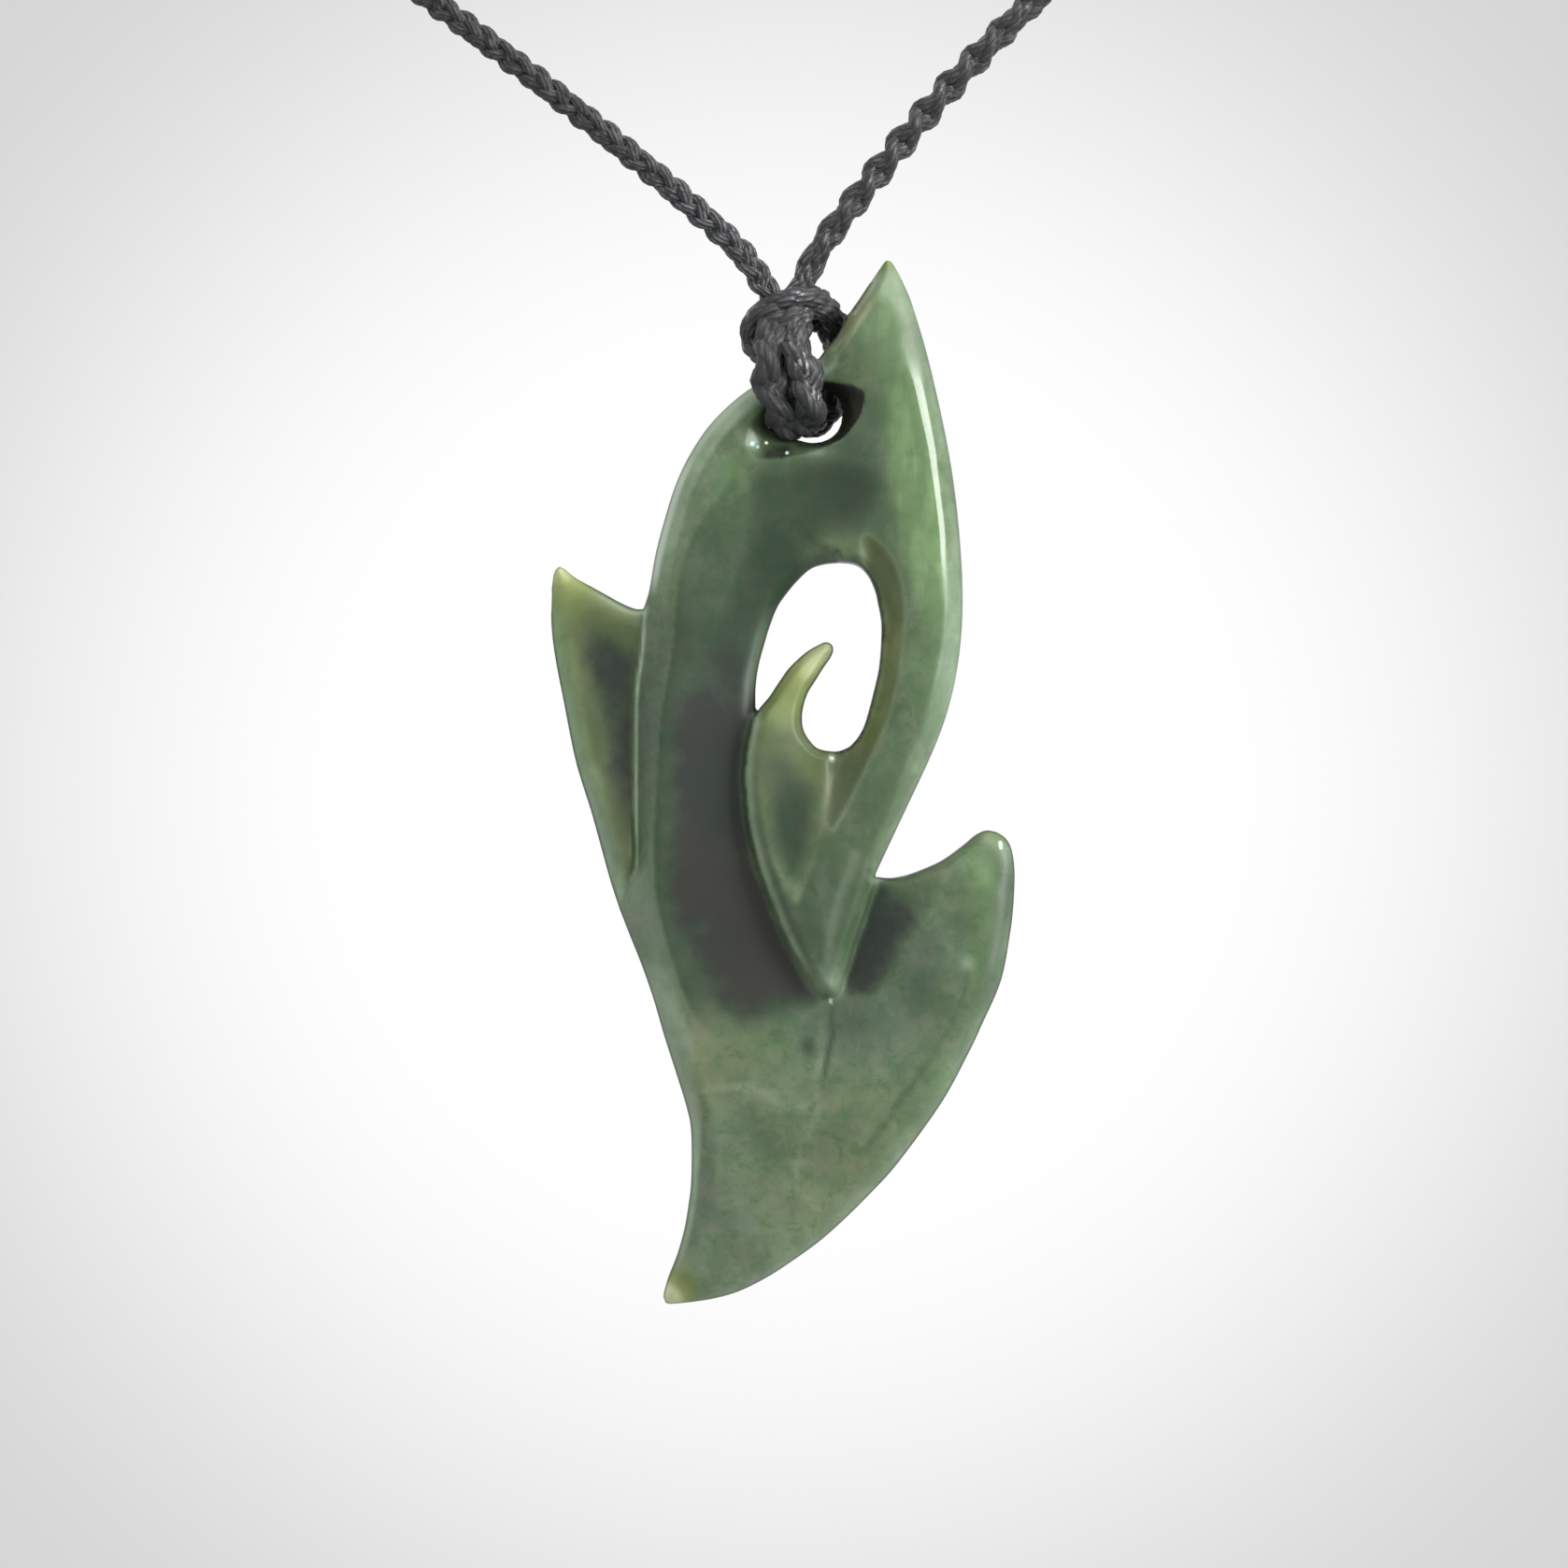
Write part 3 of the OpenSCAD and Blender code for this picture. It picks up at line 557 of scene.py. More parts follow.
# Painted glow of light through the thin tips, and below it through the hook's root
TIP_GLOWS = [(5.5, 8.6, 1.6, 1.6, 0.6), (-16.4, -12.7, 2.5, 2.5, 0.95), (12.7, -30.0, 1.1, 1.1, 0.3),
             (-9.5, -61.6, 2.05, 2.05, 1.35)]
ROOT_GLOW = [(0.6, -25.6, 2.2, 1.7, 0.18)]
# Painted highlights: two small white glints
WHITE_GLINTS = [(1.8, -25.3, 0.15, 0.15, 2.5), (1.7, -41.4, 0.1, 0.1, 2.5)]
DULL_TIP = [(13.1, -34.0, 1.4, 2.2, 1.0)]
HOOK_DIP = [(1.0, -24.8, 2.6, 3.2, 0.45)]    # a height in mm as its share

# Soft strokes: (share, width, the line's points)
# Painted glow of light through the hook
HOOK_GLOW = [(1.05, 1.9, [(1.5, -18.0), (0.0, -19.9), (-1.1, -22.0), (-1.7, -24.4)])]
SHADE_STROKES = [(0.45, 0.4, [(1.0, -27.2), (0.8, -28.6), (0.5, -30.6), (0.0, -32.2)]),
                 (0.75, 0.45, [(2.4, -33.0), (1.7, -34.9), (1.2, -37.2), (0.9, -38.8)]),
                 (0.45, 0.9, [(3.2, -31.0), (2.4, -33.4), (1.4, -36.4)]),
                 (0.45, 0.6, [(0.9, -28.6), (0.4, -31.0), (0.0, -32.2)]),
                 (0.5, 0.3, [(3.0, -34.0), (2.5, -36.2), (2.2, -39.0)])]
PALE_STROKES = [(0.2, 0.4, [(3.3, -31.7), (2.3, -34.4), (1.7, -37.0), (1.4, -40.2)]),
                (0.1, 0.35, [(13.1, -34.6), (13.1, -36.6)])]
# Painted light: a brighter green stroke on the right fin
BRIGHT_STROKE = [(0.3, 0.7, [(11.6, -32.4), (12.1, -36.0)])]
# Painted highlight: a warm glint along the horn's left chamfer
GOLDEN_GLINT_STROKE = [(1.0, 0.16, [(2.7, 2.6), (3.3, 3.4), (3.9, 4.2), (4.3, 4.9)])]
CRACK = [(1.0, 0.16, [(1.9, -41.6), (1.75, -42.6), (1.85, -43.6), (1.5, -45.0), (1.2, -47.2)])]
SEAMS = [(1.0, 0.35, [(-7.6, -47.9), (-5.6, -47.2), (-3.2, -47.3), (-1.2, -48.3), (1.0, -48.4)]),
         (1.0, 0.35, [(0.9, -48.4), (-0.3, -51.4), (-0.4, -53.6), (1.2, -55.6)]),
         (1.0, 0.35, [(1.1, -42.4), (1.05, -44.6), (0.7, -48.0)])]

# Small glints in the slot's mouth and on the right fin's tip: (x, z, radius, share, colour)
GLINTS = [(-3.35, -4.45, 0.34, 0.75, (0.20, 0.34, 0.30)), (-3.5, -4.4, 0.16, 0.8, (0.7, 0.9, 0.85)),
          (-3.15, -4.6, 0.12, 0.6, (0.6, 0.8, 0.75)), (-2.58, -4.3, 0.12, 1.0, (0.9, 0.95, 0.92)),
          (-1.2, -5.0, 0.13, 0.8, (0.8, 0.9, 0.86)), (13.02, -30.9, 0.13, 0.7, (0.8, 0.9, 0.84)),
          (13.04, -31.05, 0.15, 0.9, (0.8, 0.9, 0.84)), (13.05, -31.25, 0.12, 0.7, (0.8, 0.9, 0.84))]

# What the stone measures at places of it: (x, z), the front's height and the back's depth from the
# middle plane, the height left at the front edge, the width of the bevel there
PLACES = [
    (5.5, 8.0, 0.8, 0.8, 0.3, 0.9), (5.0, 5.0, 1.9, 1.5, 0.7, 1.2), (5.5, 1.5, 2.5, 2.0, 0.9, 1.2),
    (-0.5, -0.2, 1.7, 1.7, 1.0, 0.9), (-6.5, -5.5, 2.3, 2.2, 0.9, 1.7), (5.6, -4.5, 2.7, 2.2, 1.1, 1.2),
    (0.0, -8.5, 2.1, 2.3, 1.1, 0.7), (8.0, -8.0, 3.0, 2.4, 1.3, 1.2), (8.3, -15.0, 3.4, 2.6, 1.4, 1.2),
    (7.8, -21.0, 3.4, 2.6, 1.5, 1.1), (5.3, -27.0, 3.4, 2.5, 1.7, 0.9), (2.5, -31.5, 3.3, 2.4, 1.8, 0.8),
    (0.8, -35.5, 3.2, 2.3, 1.8, 0.8), (1.6, -40.3, 2.9, 2.2, 1.8, 0.8), (-3.2, -28.0, 3.0, 2.3, 1.2, 0.8),
    (-2.4, -24.0, 2.8, 2.2, 1.0, 0.8), (-0.9, -20.6, 1.9, 1.7, 0.7, 0.8), (1.3, -18.2, 1.0, 0.9, 0.4, 0.6),
    (-9.0, -14.0, 2.5, 2.4, 1.1, 1.9), (-9.4, -22.0, 2.7, 2.4, 1.2, 1.9), (-9.4, -30.0, 2.7, 2.4, 1.2, 1.9),
    (-9.0, -37.0, 2.5, 2.3, 1.1, 1.9), (-1.0, -47.0, 2.3, 2.3, 1.0, 1.6), (4.0, -46.0, 2.2, 2.3, 1.0, 1.6),
    (9.0, -42.0, 2.1, 2.2, 0.9, 1.6), (-5.0, -53.0, 2.2, 2.2, 0.9, 1.8), (-2.0, -56.0, 2.0, 2.0, 0.8, 1.6),
    (-7.0, -58.5, 1.7, 1.7, 0.7, 1.5), (-9.2, -61.3, 0.8, 0.8, 0.4, 1.0), (11.5, -35.5, 1.9, 2.0, 0.8, 1.5),
    (13.0, -31.2, 1.2, 1.2, 0.5, 1.2), (-12.5, -20.0, 2.1, 1.8, 0.6, 1.1), (-16.2, -13.6, 1.0, 0.7, 0.3, 0.8),
    (-14.5, -18.0, 1.7, 1.5, 0.5, 1.0), (-12.5, -31.0, 2.1, 1.9, 0.8, 1.0),
]

HOLLOW_FLOOR, LEAF_FOOT = 1.3, 2.1    # the front's height on the hollow's floor and at the leaf's foot
HOOK_TOP = -17.0                      # z over which the strand is the horn's alone

FIELD_STEP = 0.1      # mm between the points where the carving's distances are worked out
STONE_STEP = 0.198    # mm between the points that the stone's skin is drawn through
# The least and most (x, z) of the plan, and (x, y, z) of the space that the skin is looked for in
GRID_LOW, GRID_HIGH = (-18.0, -63.0), (15.0, 9.4)
SKIN_LOW, SKIN_HIGH = (-17.6, -3.9, -62.4), (14.6, 3.1, 8.9)


# The stone's plan

def eased(curve, width, kept):
    """The curve averaged along its length with a Gaussian of that width in mm, which takes out small
    wobbles. Its ends stay, and so do that many kept points at its start."""
    step = 0.2
    path = even_steps(curve[kept:], step)[0]
    reach = int(3 * width / step)
    kernel = np.exp(-0.5 * (np.arange(-reach, reach + 1) * step / width) ** 2)
    padded = np.vstack([2 * path[0] - path[reach:0:-1], path, 2 * path[-1] - path[-2:-reach - 2:-1]])
    mean = [np.convolve(padded[:, k], kernel / kernel.sum(), "valid") for k in (0, 1)]
    return np.vstack([curve[:kept], np.stack(mean, axis=1)])


def distance_to(curve, x, z):
    """Least distance from each point (x, z) to the straight pieces of the curve."""
    a = curve[:-1].astype(np.float32)
    b = curve[1:].astype(np.float32)
    run = b - a
    span = np.maximum((run**2).sum(1), 1e-12)
    best = np.full(x.size, 1e9, np.float32)
    px, pz = x.ravel().astype(np.float32), z.ravel().astype(np.float32)
    for i in range(len(a)):
        ox, oz = px - a[i, 0], pz - a[i, 1]
        t = np.clip((ox * run[i, 0] + oz * run[i, 1]) / span[i], 0, 1)
        ox -= t * run[i, 0]
        oz -= t * run[i, 1]
        np.minimum(best, ox * ox + oz * oz, out=best)
    return np.sqrt(best).reshape(x.shape)


def inside(loop, x, z):
    """True where a line from the point towards +x crosses the closed loop an odd number of times."""
    within = np.zeros(x.shape, bool)
    for (ax, az), (bx, bz) in zip(loop, np.roll(loop, -1, axis=0)):
        if az == bz:
            continue
        spans = (az > z) != (bz > z)
        within ^= spans & (x < ax + (z - az) * (bx - ax) / (bz - az))
    return within


def blurred(field, width):
    """The field averaged with a Gaussian of that width in mm, along one axis and then the other."""
    sigma = width / FIELD_STEP
    reach = int(math.ceil(3 * sigma))
    kernel = np.exp(-0.5 * (np.arange(-reach, reach + 1) / sigma) ** 2)
    kernel /= kernel.sum()
    for axis in (0, 1):
        padded = np.pad(field, [(reach, reach) if k == axis else (0, 0) for k in (0, 1)], mode="edge")
        n = field.shape[axis]
        field = sum(w * np.take(padded, np.arange(k, k + n), axis=axis) for k, w in enumerate(kernel))
    return field


class Plan:
    """The (x, z) plane as a grid of points, with the stone's lines and each point's distance to them. Its
    methods give maps, with one value for each point."""

    def __init__(self):
        self.x, self.z = np.meshgrid(*(np.arange(a, b, FIELD_STEP) for a, b in zip(GRID_LOW, GRID_HIGH)),
                                     indexing="ij")
        self.line = {name: smooth_curve(points) for name, points in LINES.items()}
        for name, width, kept in EASED:
            self.line[name] = eased(self.line[name], width, kept)
        self.to = {name: distance_to(curve, self.x, self.z) for name, curve in self.line.items()}

    def nearest(self, *names):
        """The distance to the nearest of the named lines."""
        return np.minimum.reduce([self.to[name] for name in names])

    def within(self, *curves):
        """True inside the loop that the curves make end to end."""
        return inside(np.vstack(curves), self.x, self.z)

    def along(self, *levels):
        """A share that changes with height only, straight between (z, share) pairs, the highest first."""
        heights, shares = np.array(levels[::-1]).T
        return np.interp(self.z, heights, shares)

    def patch(self, outline, width):
        """1 inside the outline and 0 outside, blurred by that width."""
        return blurred(self.within(smooth_curve(outline)).astype(float), width)

    def spots(self, table):
        """The strongest of a table's soft round spots at each point."""
        return np.maximum.reduce([share * np.exp(-((self.x - x) / wide) ** 2 - ((self.z - z) / high) ** 2)
                                  for x, z, wide, high, share in table])

    def strokes(self, table):
        """The strongest of a table's soft strokes at each point."""
        return np.maximum.reduce([share * fade(distance_to(smooth_curve(points), self.x, self.z), width)
                                  for share, width, points in table])


def sharp_parts(plan):
    """The stone's parts as the front shows them, each true inside its own lines: all of it, the hollow
    and the flat facet left of it, the left fin, the raised strand with its facets and the leaf's scoop,
    the slot's mouth, and a strip just outside the strand."""
    x, z, line, within = plan.x, plan.z, plan.line, plan.within
    back = {name: curve[::-1] for name, curve in line.items()}
    body = within(*(line[name] for name in OUTLINE))
    stone = body & ~within(*(line[name] for name in OPENING)) & ~within(line["slot"])
    strand = within(line["leaf_left"], line["leaf_right"], back["horn_right"], back["horn_left"],
                    STRAND_ROOT, back["strand_inner"], back["hook_inner"], back["hook_back"])
    crest = line["hollow_crest"]
    left_crest = crest[:np.argmin(crest[:, 1])][::-1]
    left_of_crest = x < np.interp(z, left_crest[:, 1], left_crest[:, 0])
    upper_ridge = line["ridge"][[0, 10, 15, 20]]    # down to where the inner facet ends
    return {
        "stone": stone,
        "hollow": within(crest, back["leaf_right"], back["leaf_left"], back["opening_left"]),
        "left_facet": left_of_crest & (z > -45.4) & (z < -5.0),
        "fin": within(line["fin_left"], line["fin_left_top"], line["fin_step"]),
        "strand": strand,
        "low_strand": strand & (z < HOOK_TOP),
        "inner_facet": within(back["strand_inner"], upper_ridge, back["facet"]),
        "outer_facet": within(line["horn_right"], back["strand_crest"]),
        "scoop": within(line["leaf_rim"], back["ridge"]),
        "sink": within(line["slot_sink"]) & stone,
        "beyond": ~body & (plan.to["horn_right"] < 2.0) & (x > 3),
    }


def soft_parts(plan, part):
    """Shares from 0 to 1 for the parts that colour follows, each blurred a little at its edge."""
    facets = part["inner_facet"] | part["outer_facet"] | part["scoop"]
    soft = {name: blurred(area.astype(float), width) for name, area, width in (
        ("hollow", part["hollow"], 0.12), ("left_facet", part["left_facet"] & ~part["fin"], 0.12),
        ("fin", part["fin"], 0.08), ("inner_facet", part["inner_facet"], 0.08),
        ("outer_facet", part["outer_facet"], 0.22), ("scoop", part["scoop"], 0.35),
        ("sink", part["sink"], 0.08), ("strand_face", part["strand"] & ~facets, 0.12),
        ("low_strand", part["low_strand"], 0.08))}
    soft["fin_rim"] = soft["fin"] * smoothstep(1.5, 0.4, plan.to["fin_left"])
    return soft


# The stone's relief

def ramp(low, high, bend=1.0):
    """A facet's share of its height: the distance to its low line over the sum of the distances to its
    low and its high line."""
    return np.clip(low / (low + high + 1e-6), 0, 1) ** bend


def bevelled(field, lip, distance, width, roundness=2.0):
    """Falls to the lip's height at no distance, in a straight bevel at roundness 1, else rounded."""
    return lip + (field - lip) * (1 - (1 - np.clip(distance / width, 0, 1)) ** roundness)


def wall(area, distance, width):
    """0 outside the area and 1 inside, straight between over that width."""
    return np.clip(0.5 + np.where(area, 1, -1) * distance / width, 0, 1)


def measures(plan):
    """Maps of what the stone measures, where each place counts by the inverse cube of its distance."""
    rows = np.array(PLACES)
    weight = np.stack([((plan.x - r[0]) ** 2 + (plan.z - r[1]) ** 2 + 1.0) ** -1.5 for r in rows])
    weight /= weight.sum(0)
    return [np.tensordot(rows[:, k], weight, 1) for k in (2, 3, 4, 5)]


def lower_body(plan, part, plate, lip, bevel):
    """The body's height: one long hollow round the leaf, rising to its crest on the left and right, with
    a flat facet from the crest out to the edge on the left."""
    z, to = plan.z, plan.to
    edge = plan.nearest("body_left", "fin_step", "tail_left")
    inner = plan.nearest("opening_left", "leaf_left", "leaf_right")
    strength = part["hollow"] * smoothstep(-8.0, -17.0, z) * smoothstep(-46.5, -39.5, z)
    body = plate - strength * (plate - HOLLOW_FLOOR) * (1 - ramp(inner, to["hollow_crest"]))
    facet = np.where(part["left_facet"], lip + (body - lip) * ramp(edge, to["hollow_crest"]), body)
    flat = smoothstep(-7.0, -10.0, z) * smoothstep(-45.0, -40.0, z)
    body = bevelled(body, lip, edge, bevel) * (1 - flat) + facet * flat
    body = bevelled(body, lip, to["opening_left"], 0.8, 1.1)
    body = bevelled(body, lip, to["fin_top"], 0.7)
    return blurred(bevelled(body, lip, to["fin_right"], bevel), 0.2)


def raised_strand(plan, part, plate, lip, bevel):
    """The height of the strand with its inner and outer facets, of the curled hook, and of the leaf with
    its scoop, which is deepest midway between the leaf's rim and its ridge."""
    to = plan.to
    low = 0.75 * lip
    facet = low + (plate - low) * ramp(plan.nearest("strand_inner", "hook_inner"), to["facet"], 0.9)
    scoop = 0.7 * to["leaf_rim"] * to["ridge"] / (to["leaf_rim"] + to["ridge"] + 1e-6) ** 2
    raised = np.where(part["inner_facet"], facet, plate) - part["scoop"] * scoop - plan.spots(HOOK_DIP)
    outer = np.where(part["outer_facet"], ramp(to["horn_right"], to["strand_crest"]), 1.0)
    raised = lip + (raised - lip) * np.where(part["beyond"], -to["horn_right"] / 1.3, outer)
    crest = fade(to["strand_crest"], 0.9) * smoothstep(-16.0, -11.0, plan.z)
    raised = blurred(raised, 0.28) * (1 - crest) + blurred(raised, 0.65) * crest
    raised = bevelled(raised, lip, to["body_left"], bevel)
    raised = bevelled(raised, lip, to["horn_left"], 0.9, 1.2)
    raised = bevelled(raised, lip, to["hook_back"], 0.8)
    raised = bevelled(raised, LEAF_FOOT, plan.nearest("leaf_left", "leaf_right"), 0.9)
    return bevelled(raised, lip, to["hook_inner"], 0.6)


def left_fin(plan, plate, lip):
    """The left fin's height, lower than the body's edge, which stands over it in a step."""
    edge = plan.nearest("fin_left", "fin_left_top")
    foot = 0.8 + 1.2 * smoothstep(-24, -35, plan.z)
    fin = foot + (plate - 0.4 - foot) * ramp(plan.to["fin_step"], edge)
    return bevelled(fin, 0.8 * lip, edge, 1.2)


def relief(plan, part, soft):
    """The front's height and the back's depth from the middle plane, and the distance in from the
    outline. Steep walls go down from the leaf to the body and from the body to the fin, the slot's mouth
    is sunk from its line to the hole, and the back has one round bevel and its fin a little lower."""
    plate, back, lip, bevel = measures(plan)
    to, slot = plan.to, plan.to["slot"]
    edge = plan.nearest(*OUTLINE, *OPENING, "slot")
    lower = lower_body(plan, part, plate, lip, bevel)
    raised = raised_strand(plan, part, plate, lip, bevel)
    fin_wall = wall(part["fin"], to["fin_step"], 0.4)
    leaf_wall = wall(part["strand"], plan.nearest("leaf_left", "leaf_right"), 0.34)
    lower = lower + (left_fin(plan, plate, lip) - lower) * fin_wall * smoothstep(-34.0, -31.2, plan.z)
    front = blurred(lower + (raised - lower) * np.where(part["beyond"], 1.0, leaf_wall), 0.1)
    front = front - 1.2 * soft["sink"] * ramp(to["slot_sink"], slot, 1.2)
    back = bevelled(back, 0.9 * lip, edge, np.maximum(bevel, 1.1))
    back = blurred(back - 0.3 * fin_wall * smoothstep(0.3, 1.5, edge), 0.2)
    back = back - 0.9 * (1 - np.clip(slot / 0.8, 0, 1)) ** 1.3
    return front, back, np.where(part["stone"], edge, -edge)


# The stone's colours and its painted light and shade, as masks over the plan

def deep_tones_and_shade(plan, part, soft):
    """Olive on the inner facet and the fin, painted shade in the hollows and along some edges, near black
    where the hollows are deepest, painted shadow and reflection of the black cord in the slot's mouth, but
    not on the thin line of light at the leaf's foot."""
    x, z, to, along = plan.x, plan.z, plan.to, plan.along
    strand = part["strand"]
    foot_line = fade(plan.nearest("leaf_left", "leaf_right"), 0.5) * ~strand
    off_strand = 1 - soft["low_strand"]
    fin_depth = plan.nearest("fin_left", "fin_left_top") + 0.5 * smoothstep(-24, -30, z)
    fin_dark = blurred(part["fin"] * smoothstep(1.1, 3.3, fin_depth), 0.55)
    leaf_dark = (plan.patch(LEAF_DARK, 0.6)
                 * along((-24, 0.45), (-26, 0.8), (-28, 0.95), (-30, 1), (-33, 1), (-34.5, 0.6)))
    olive = np.maximum.reduce([
        soft["inner_facet"], soft["fin"] - soft["fin_rim"],
        soft["scoop"] * along((-24, 1), (-27, 0.8), (-30, 0.35), (-33, 0.1)),
        0.85 * fade(to["leaf_left"], 1.9) * strand * along((-20, 0.8), (-26, 0.9), (-30, 0.4), (-33, 0))])
    dark = np.maximum.reduce([
        plan.patch(DARK, 0.7) * off_strand * along((-16.5, 0.15), (-22, 1)),
        plan.patch(DARK_RIGHT, 0.8) * off_strand * along((-34, 0.45), (-37, 0.8), (-40, 0.9)),
        # Painted shadow and reflection of the black cord in the slot's mouth
        soft["sink"] * along((-3.5, 0.8), (-4.8, 0.6)) * smoothstep(-4.8, -1.8, x),
        0.7 * fin_dark, 0.1 * leaf_dark])
    shade = np.maximum.reduce([
        plan.patch(DEEP, 0.7) * off_strand * (1 - 0.85 * foot_line),
        plan.patch(DARK_RIGHT, 1.2) * off_strand, fin_dark, leaf_dark, 0.3 * soft["scoop"],
        plan.spots(SHADE_SPOTS), plan.strokes(SHADE_STROKES),
        soft["left_facet"] * along((-13, 0), (-19, 0.5), (-26, 0.5), (-30, 0.3), (-35, 0)),
        soft["hollow"] * smoothstep(-1.0, -4.0, x) * along((-6.5, 0.25), (-10, 0.6), (-15, 0.8), (-17, 1),
                                                           (-24, 1), (-30, 0.9), (-41, 0.9), (-44, 0.1)),
        soft["strand_face"] * along((-20, 0), (-28, 0.3), (-31, 0.5), (-33, 0.6), (-37, 0.7), (-40, 0.2),
                                    (-41, 0)),
        soft["inner_facet"] * along((-12, 0.3), (-14, 0.3), (-16, 0), (-24, 0), (-26, 0.5), (-31, 0.8)),
        soft["fin"] * smoothstep(0.9, 1.7, to["fin_left"]) * along((-15.6, 0), (-17, 0.4), (-27, 0.6),
                                                                   (-31, 0.3)),
        fade(to["fin_right"] - 0.6, 0.8) * along((-31, 0), (-33, 0.7), (-40, 0.8), (-44, 0.3), (-47, 0)),
        0.35 * fade(to["hollow_crest"], 0.14) * along((-6, 0), (-8, 1), (-16, 0.6), (-20, 0)),
        0.35 * fade(to["ridge"], 0.6) * along((-25.5, 0.3), (-28, 1), (-32, 0.8)),
        0.4 * fade(to["fin_crest"], 0.2)])
    return {"olive": olive, "dark": dark * (1 - 0.9 * foot_line), "shade": shade}


def pale_edges(plan, part, soft):
    """Painted reflections and light: pale on the edges, the facets and the thin tips, and in a few streaks on
    the strand and the right fin.
    """
    z, to, along = plan.z, plan.to, plan.along
    band = along((-34, 2.0), (-40, 2.3), (-44, 2.1), (-47, 1.5), (-50, 0.9), (-53, 0.6), (-61, 0.6))
    tail_band = smoothstep(band, 0.5 * band, to["tail_left"])
    return np.maximum.reduce([
        plan.spots(PALE_SPOTS), plan.strokes(PALE_STROKES),
        soft["outer_facet"] * along((8, 0.4), (5, 0.25), (1, 0.1), (-2, 0.15), (-10, 0.1), (-14, 0.4),
                                    (-19, 0.5), (-22, 0.3), (-28, 0.15), (-32, 0.1)),
        0.6 * fade(to["horn_right"], 0.45) * along((-16, 0), (-20, 1), (-32, 0.6)),
        0.35 * smoothstep(1.0, 0.8, to["horn_left"]),
        0.75 * smoothstep(1.5, 1.1, to["body_left"]) * along((1.4, 1), (-7, 0.8), (-12, 0.5), (-15, 0.1)),
        smoothstep(0.8, 0.4, to["body_left"]) * along((1.4, 1.1), (-12, 1.1), (-15, 0)),
        soft["left_facet"] * along((-6, 0.15), (-12, 0), (-26, 0), (-31, 0.1), (-36, 0.25), (-40, 0.25),
                                   (-42.5, 0.1), (-45, 0)),
        tail_band * along((-34, 0), (-38, 0.2), (-41, 0.6), (-44, 0.5), (-47, 0.35), (-52, 0.7), (-55, 0.7),
                          (-60, 0.5)),
        0.3 * fade(to["fin_right"], 1.0) * along((-35, 0), (-38, 1)),
        1.3 * fade(to["fin_step"] - 0.16, 0.09) * ~part["fin"] * smoothstep(-34.0, -32.2, z),
        0.8 * soft["fin_rim"] * along((-20, 0), (-27, 0.5), (-35, 1)),
        0.6 * fade(to["fin_left_top"] - 0.3, 0.16),
        smoothstep(0.8, 0.5, to["opening_left"]) * along((-15, 0), (-17, 0.2), (-20, 0.3), (-22, 0)),
        0.25 * fade(to["facet"], 0.15),
        0.7 * fade(to["leaf_left"] - 0.2, 0.25) * part["strand"] * smoothstep(-40.8, -38.0, z)])


def glow_and_highlights(plan, soft):
    """Painted light: the yellow green glow of light through the hook and the thin tips, the brighter green
    where light comes through the strand's right side and the fin's rim, highlights on the edges and in
    small glints, a warm glint on the horn that shares its mask with the yellow beige along the ridge and
    the horn's left chamfer, and the right edge where the light falls on it."""
    z, to, along = plan.z, plan.to, plan.along
    hook = np.maximum(plan.strokes(HOOK_GLOW) * smoothstep(-25.6, -17.5, z), plan.spots(ROOT_GLOW))
    hook = hook * (1 - soft["inner_facet"] * smoothstep(-24.0, -24.8, z))
    golden_glint = plan.strokes(GOLDEN_GLINT_STROKE)
    ridge_width = 0.13 + 0.09 * np.clip(-26.5 - z, 0, 6)
    return {
        "glow": np.maximum(hook, plan.spots(TIP_GLOWS)),
        "bright": np.maximum.reduce([
            plan.patch(BRIGHT, 0.4) * along((8, 0.5), (2, 0.45), (-2, 0.8), (-6, 1.1), (-16, 1.1), (-20, 0)),
            soft["fin_rim"] * along((-12, 0.9), (-24, 0.8), (-32, 0.2)), plan.strokes(BRIGHT_STROKE)]),
        "painted_highlight": np.maximum.reduce([
            soft["outer_facet"] * along((8, 0.08), (-2, 0.05), (-6, 0)),
            smoothstep(0.6, 0.3, to["body_left"]) * along((-5, 0), (-7, 0.5), (-13, 0.6), (-14.5, 0)),
            0.3 * golden_glint, plan.spots(WHITE_GLINTS)]),
        "cream_and_glint": np.maximum.reduce([
            fade(to["ridge"], ridge_width) * along((-25, 0.8), (-28, 0.5), (-31, 0)),
            fade(to["horn_left"] - 0.55, 0.35) * along((7, 0), (5.5, 0.8), (3, 1), (1.8, 0.6), (1, 0)),
            1.5 * golden_glint]),
        "lit_edge": fade(to["horn_right"], 0.6) * along((8, 1), (-20, 1), (-30, 0.4)),
    }


def dull_places(plan, part, deep):
    """How much less polished each place is: the hollows and the deep colours, the left half, the strand's
    inner side, and the right fin's tip, but not the rims of the slot and the horn."""
    left, right = plan.x < 4, plan.x > 4
    dull = np.maximum.reduce([*deep.values(), part["hollow"], 0.6 * left])
    dull = np.maximum(dull, right * plan.along((9, 0.9), (1.2, 0.9), (-0.6, 0), (-11, 0), (-14, 0.8)))
    dull = np.where(part["low_strand"] & ~part["outer_facet"] & left, 1.0, dull)
    dull = np.clip(dull + plan.spots(DULL_TIP), 0, 1)
    return blurred(dull * (1 - fade(plan.nearest("slot", "horn_left"), 0.7)), 0.2)


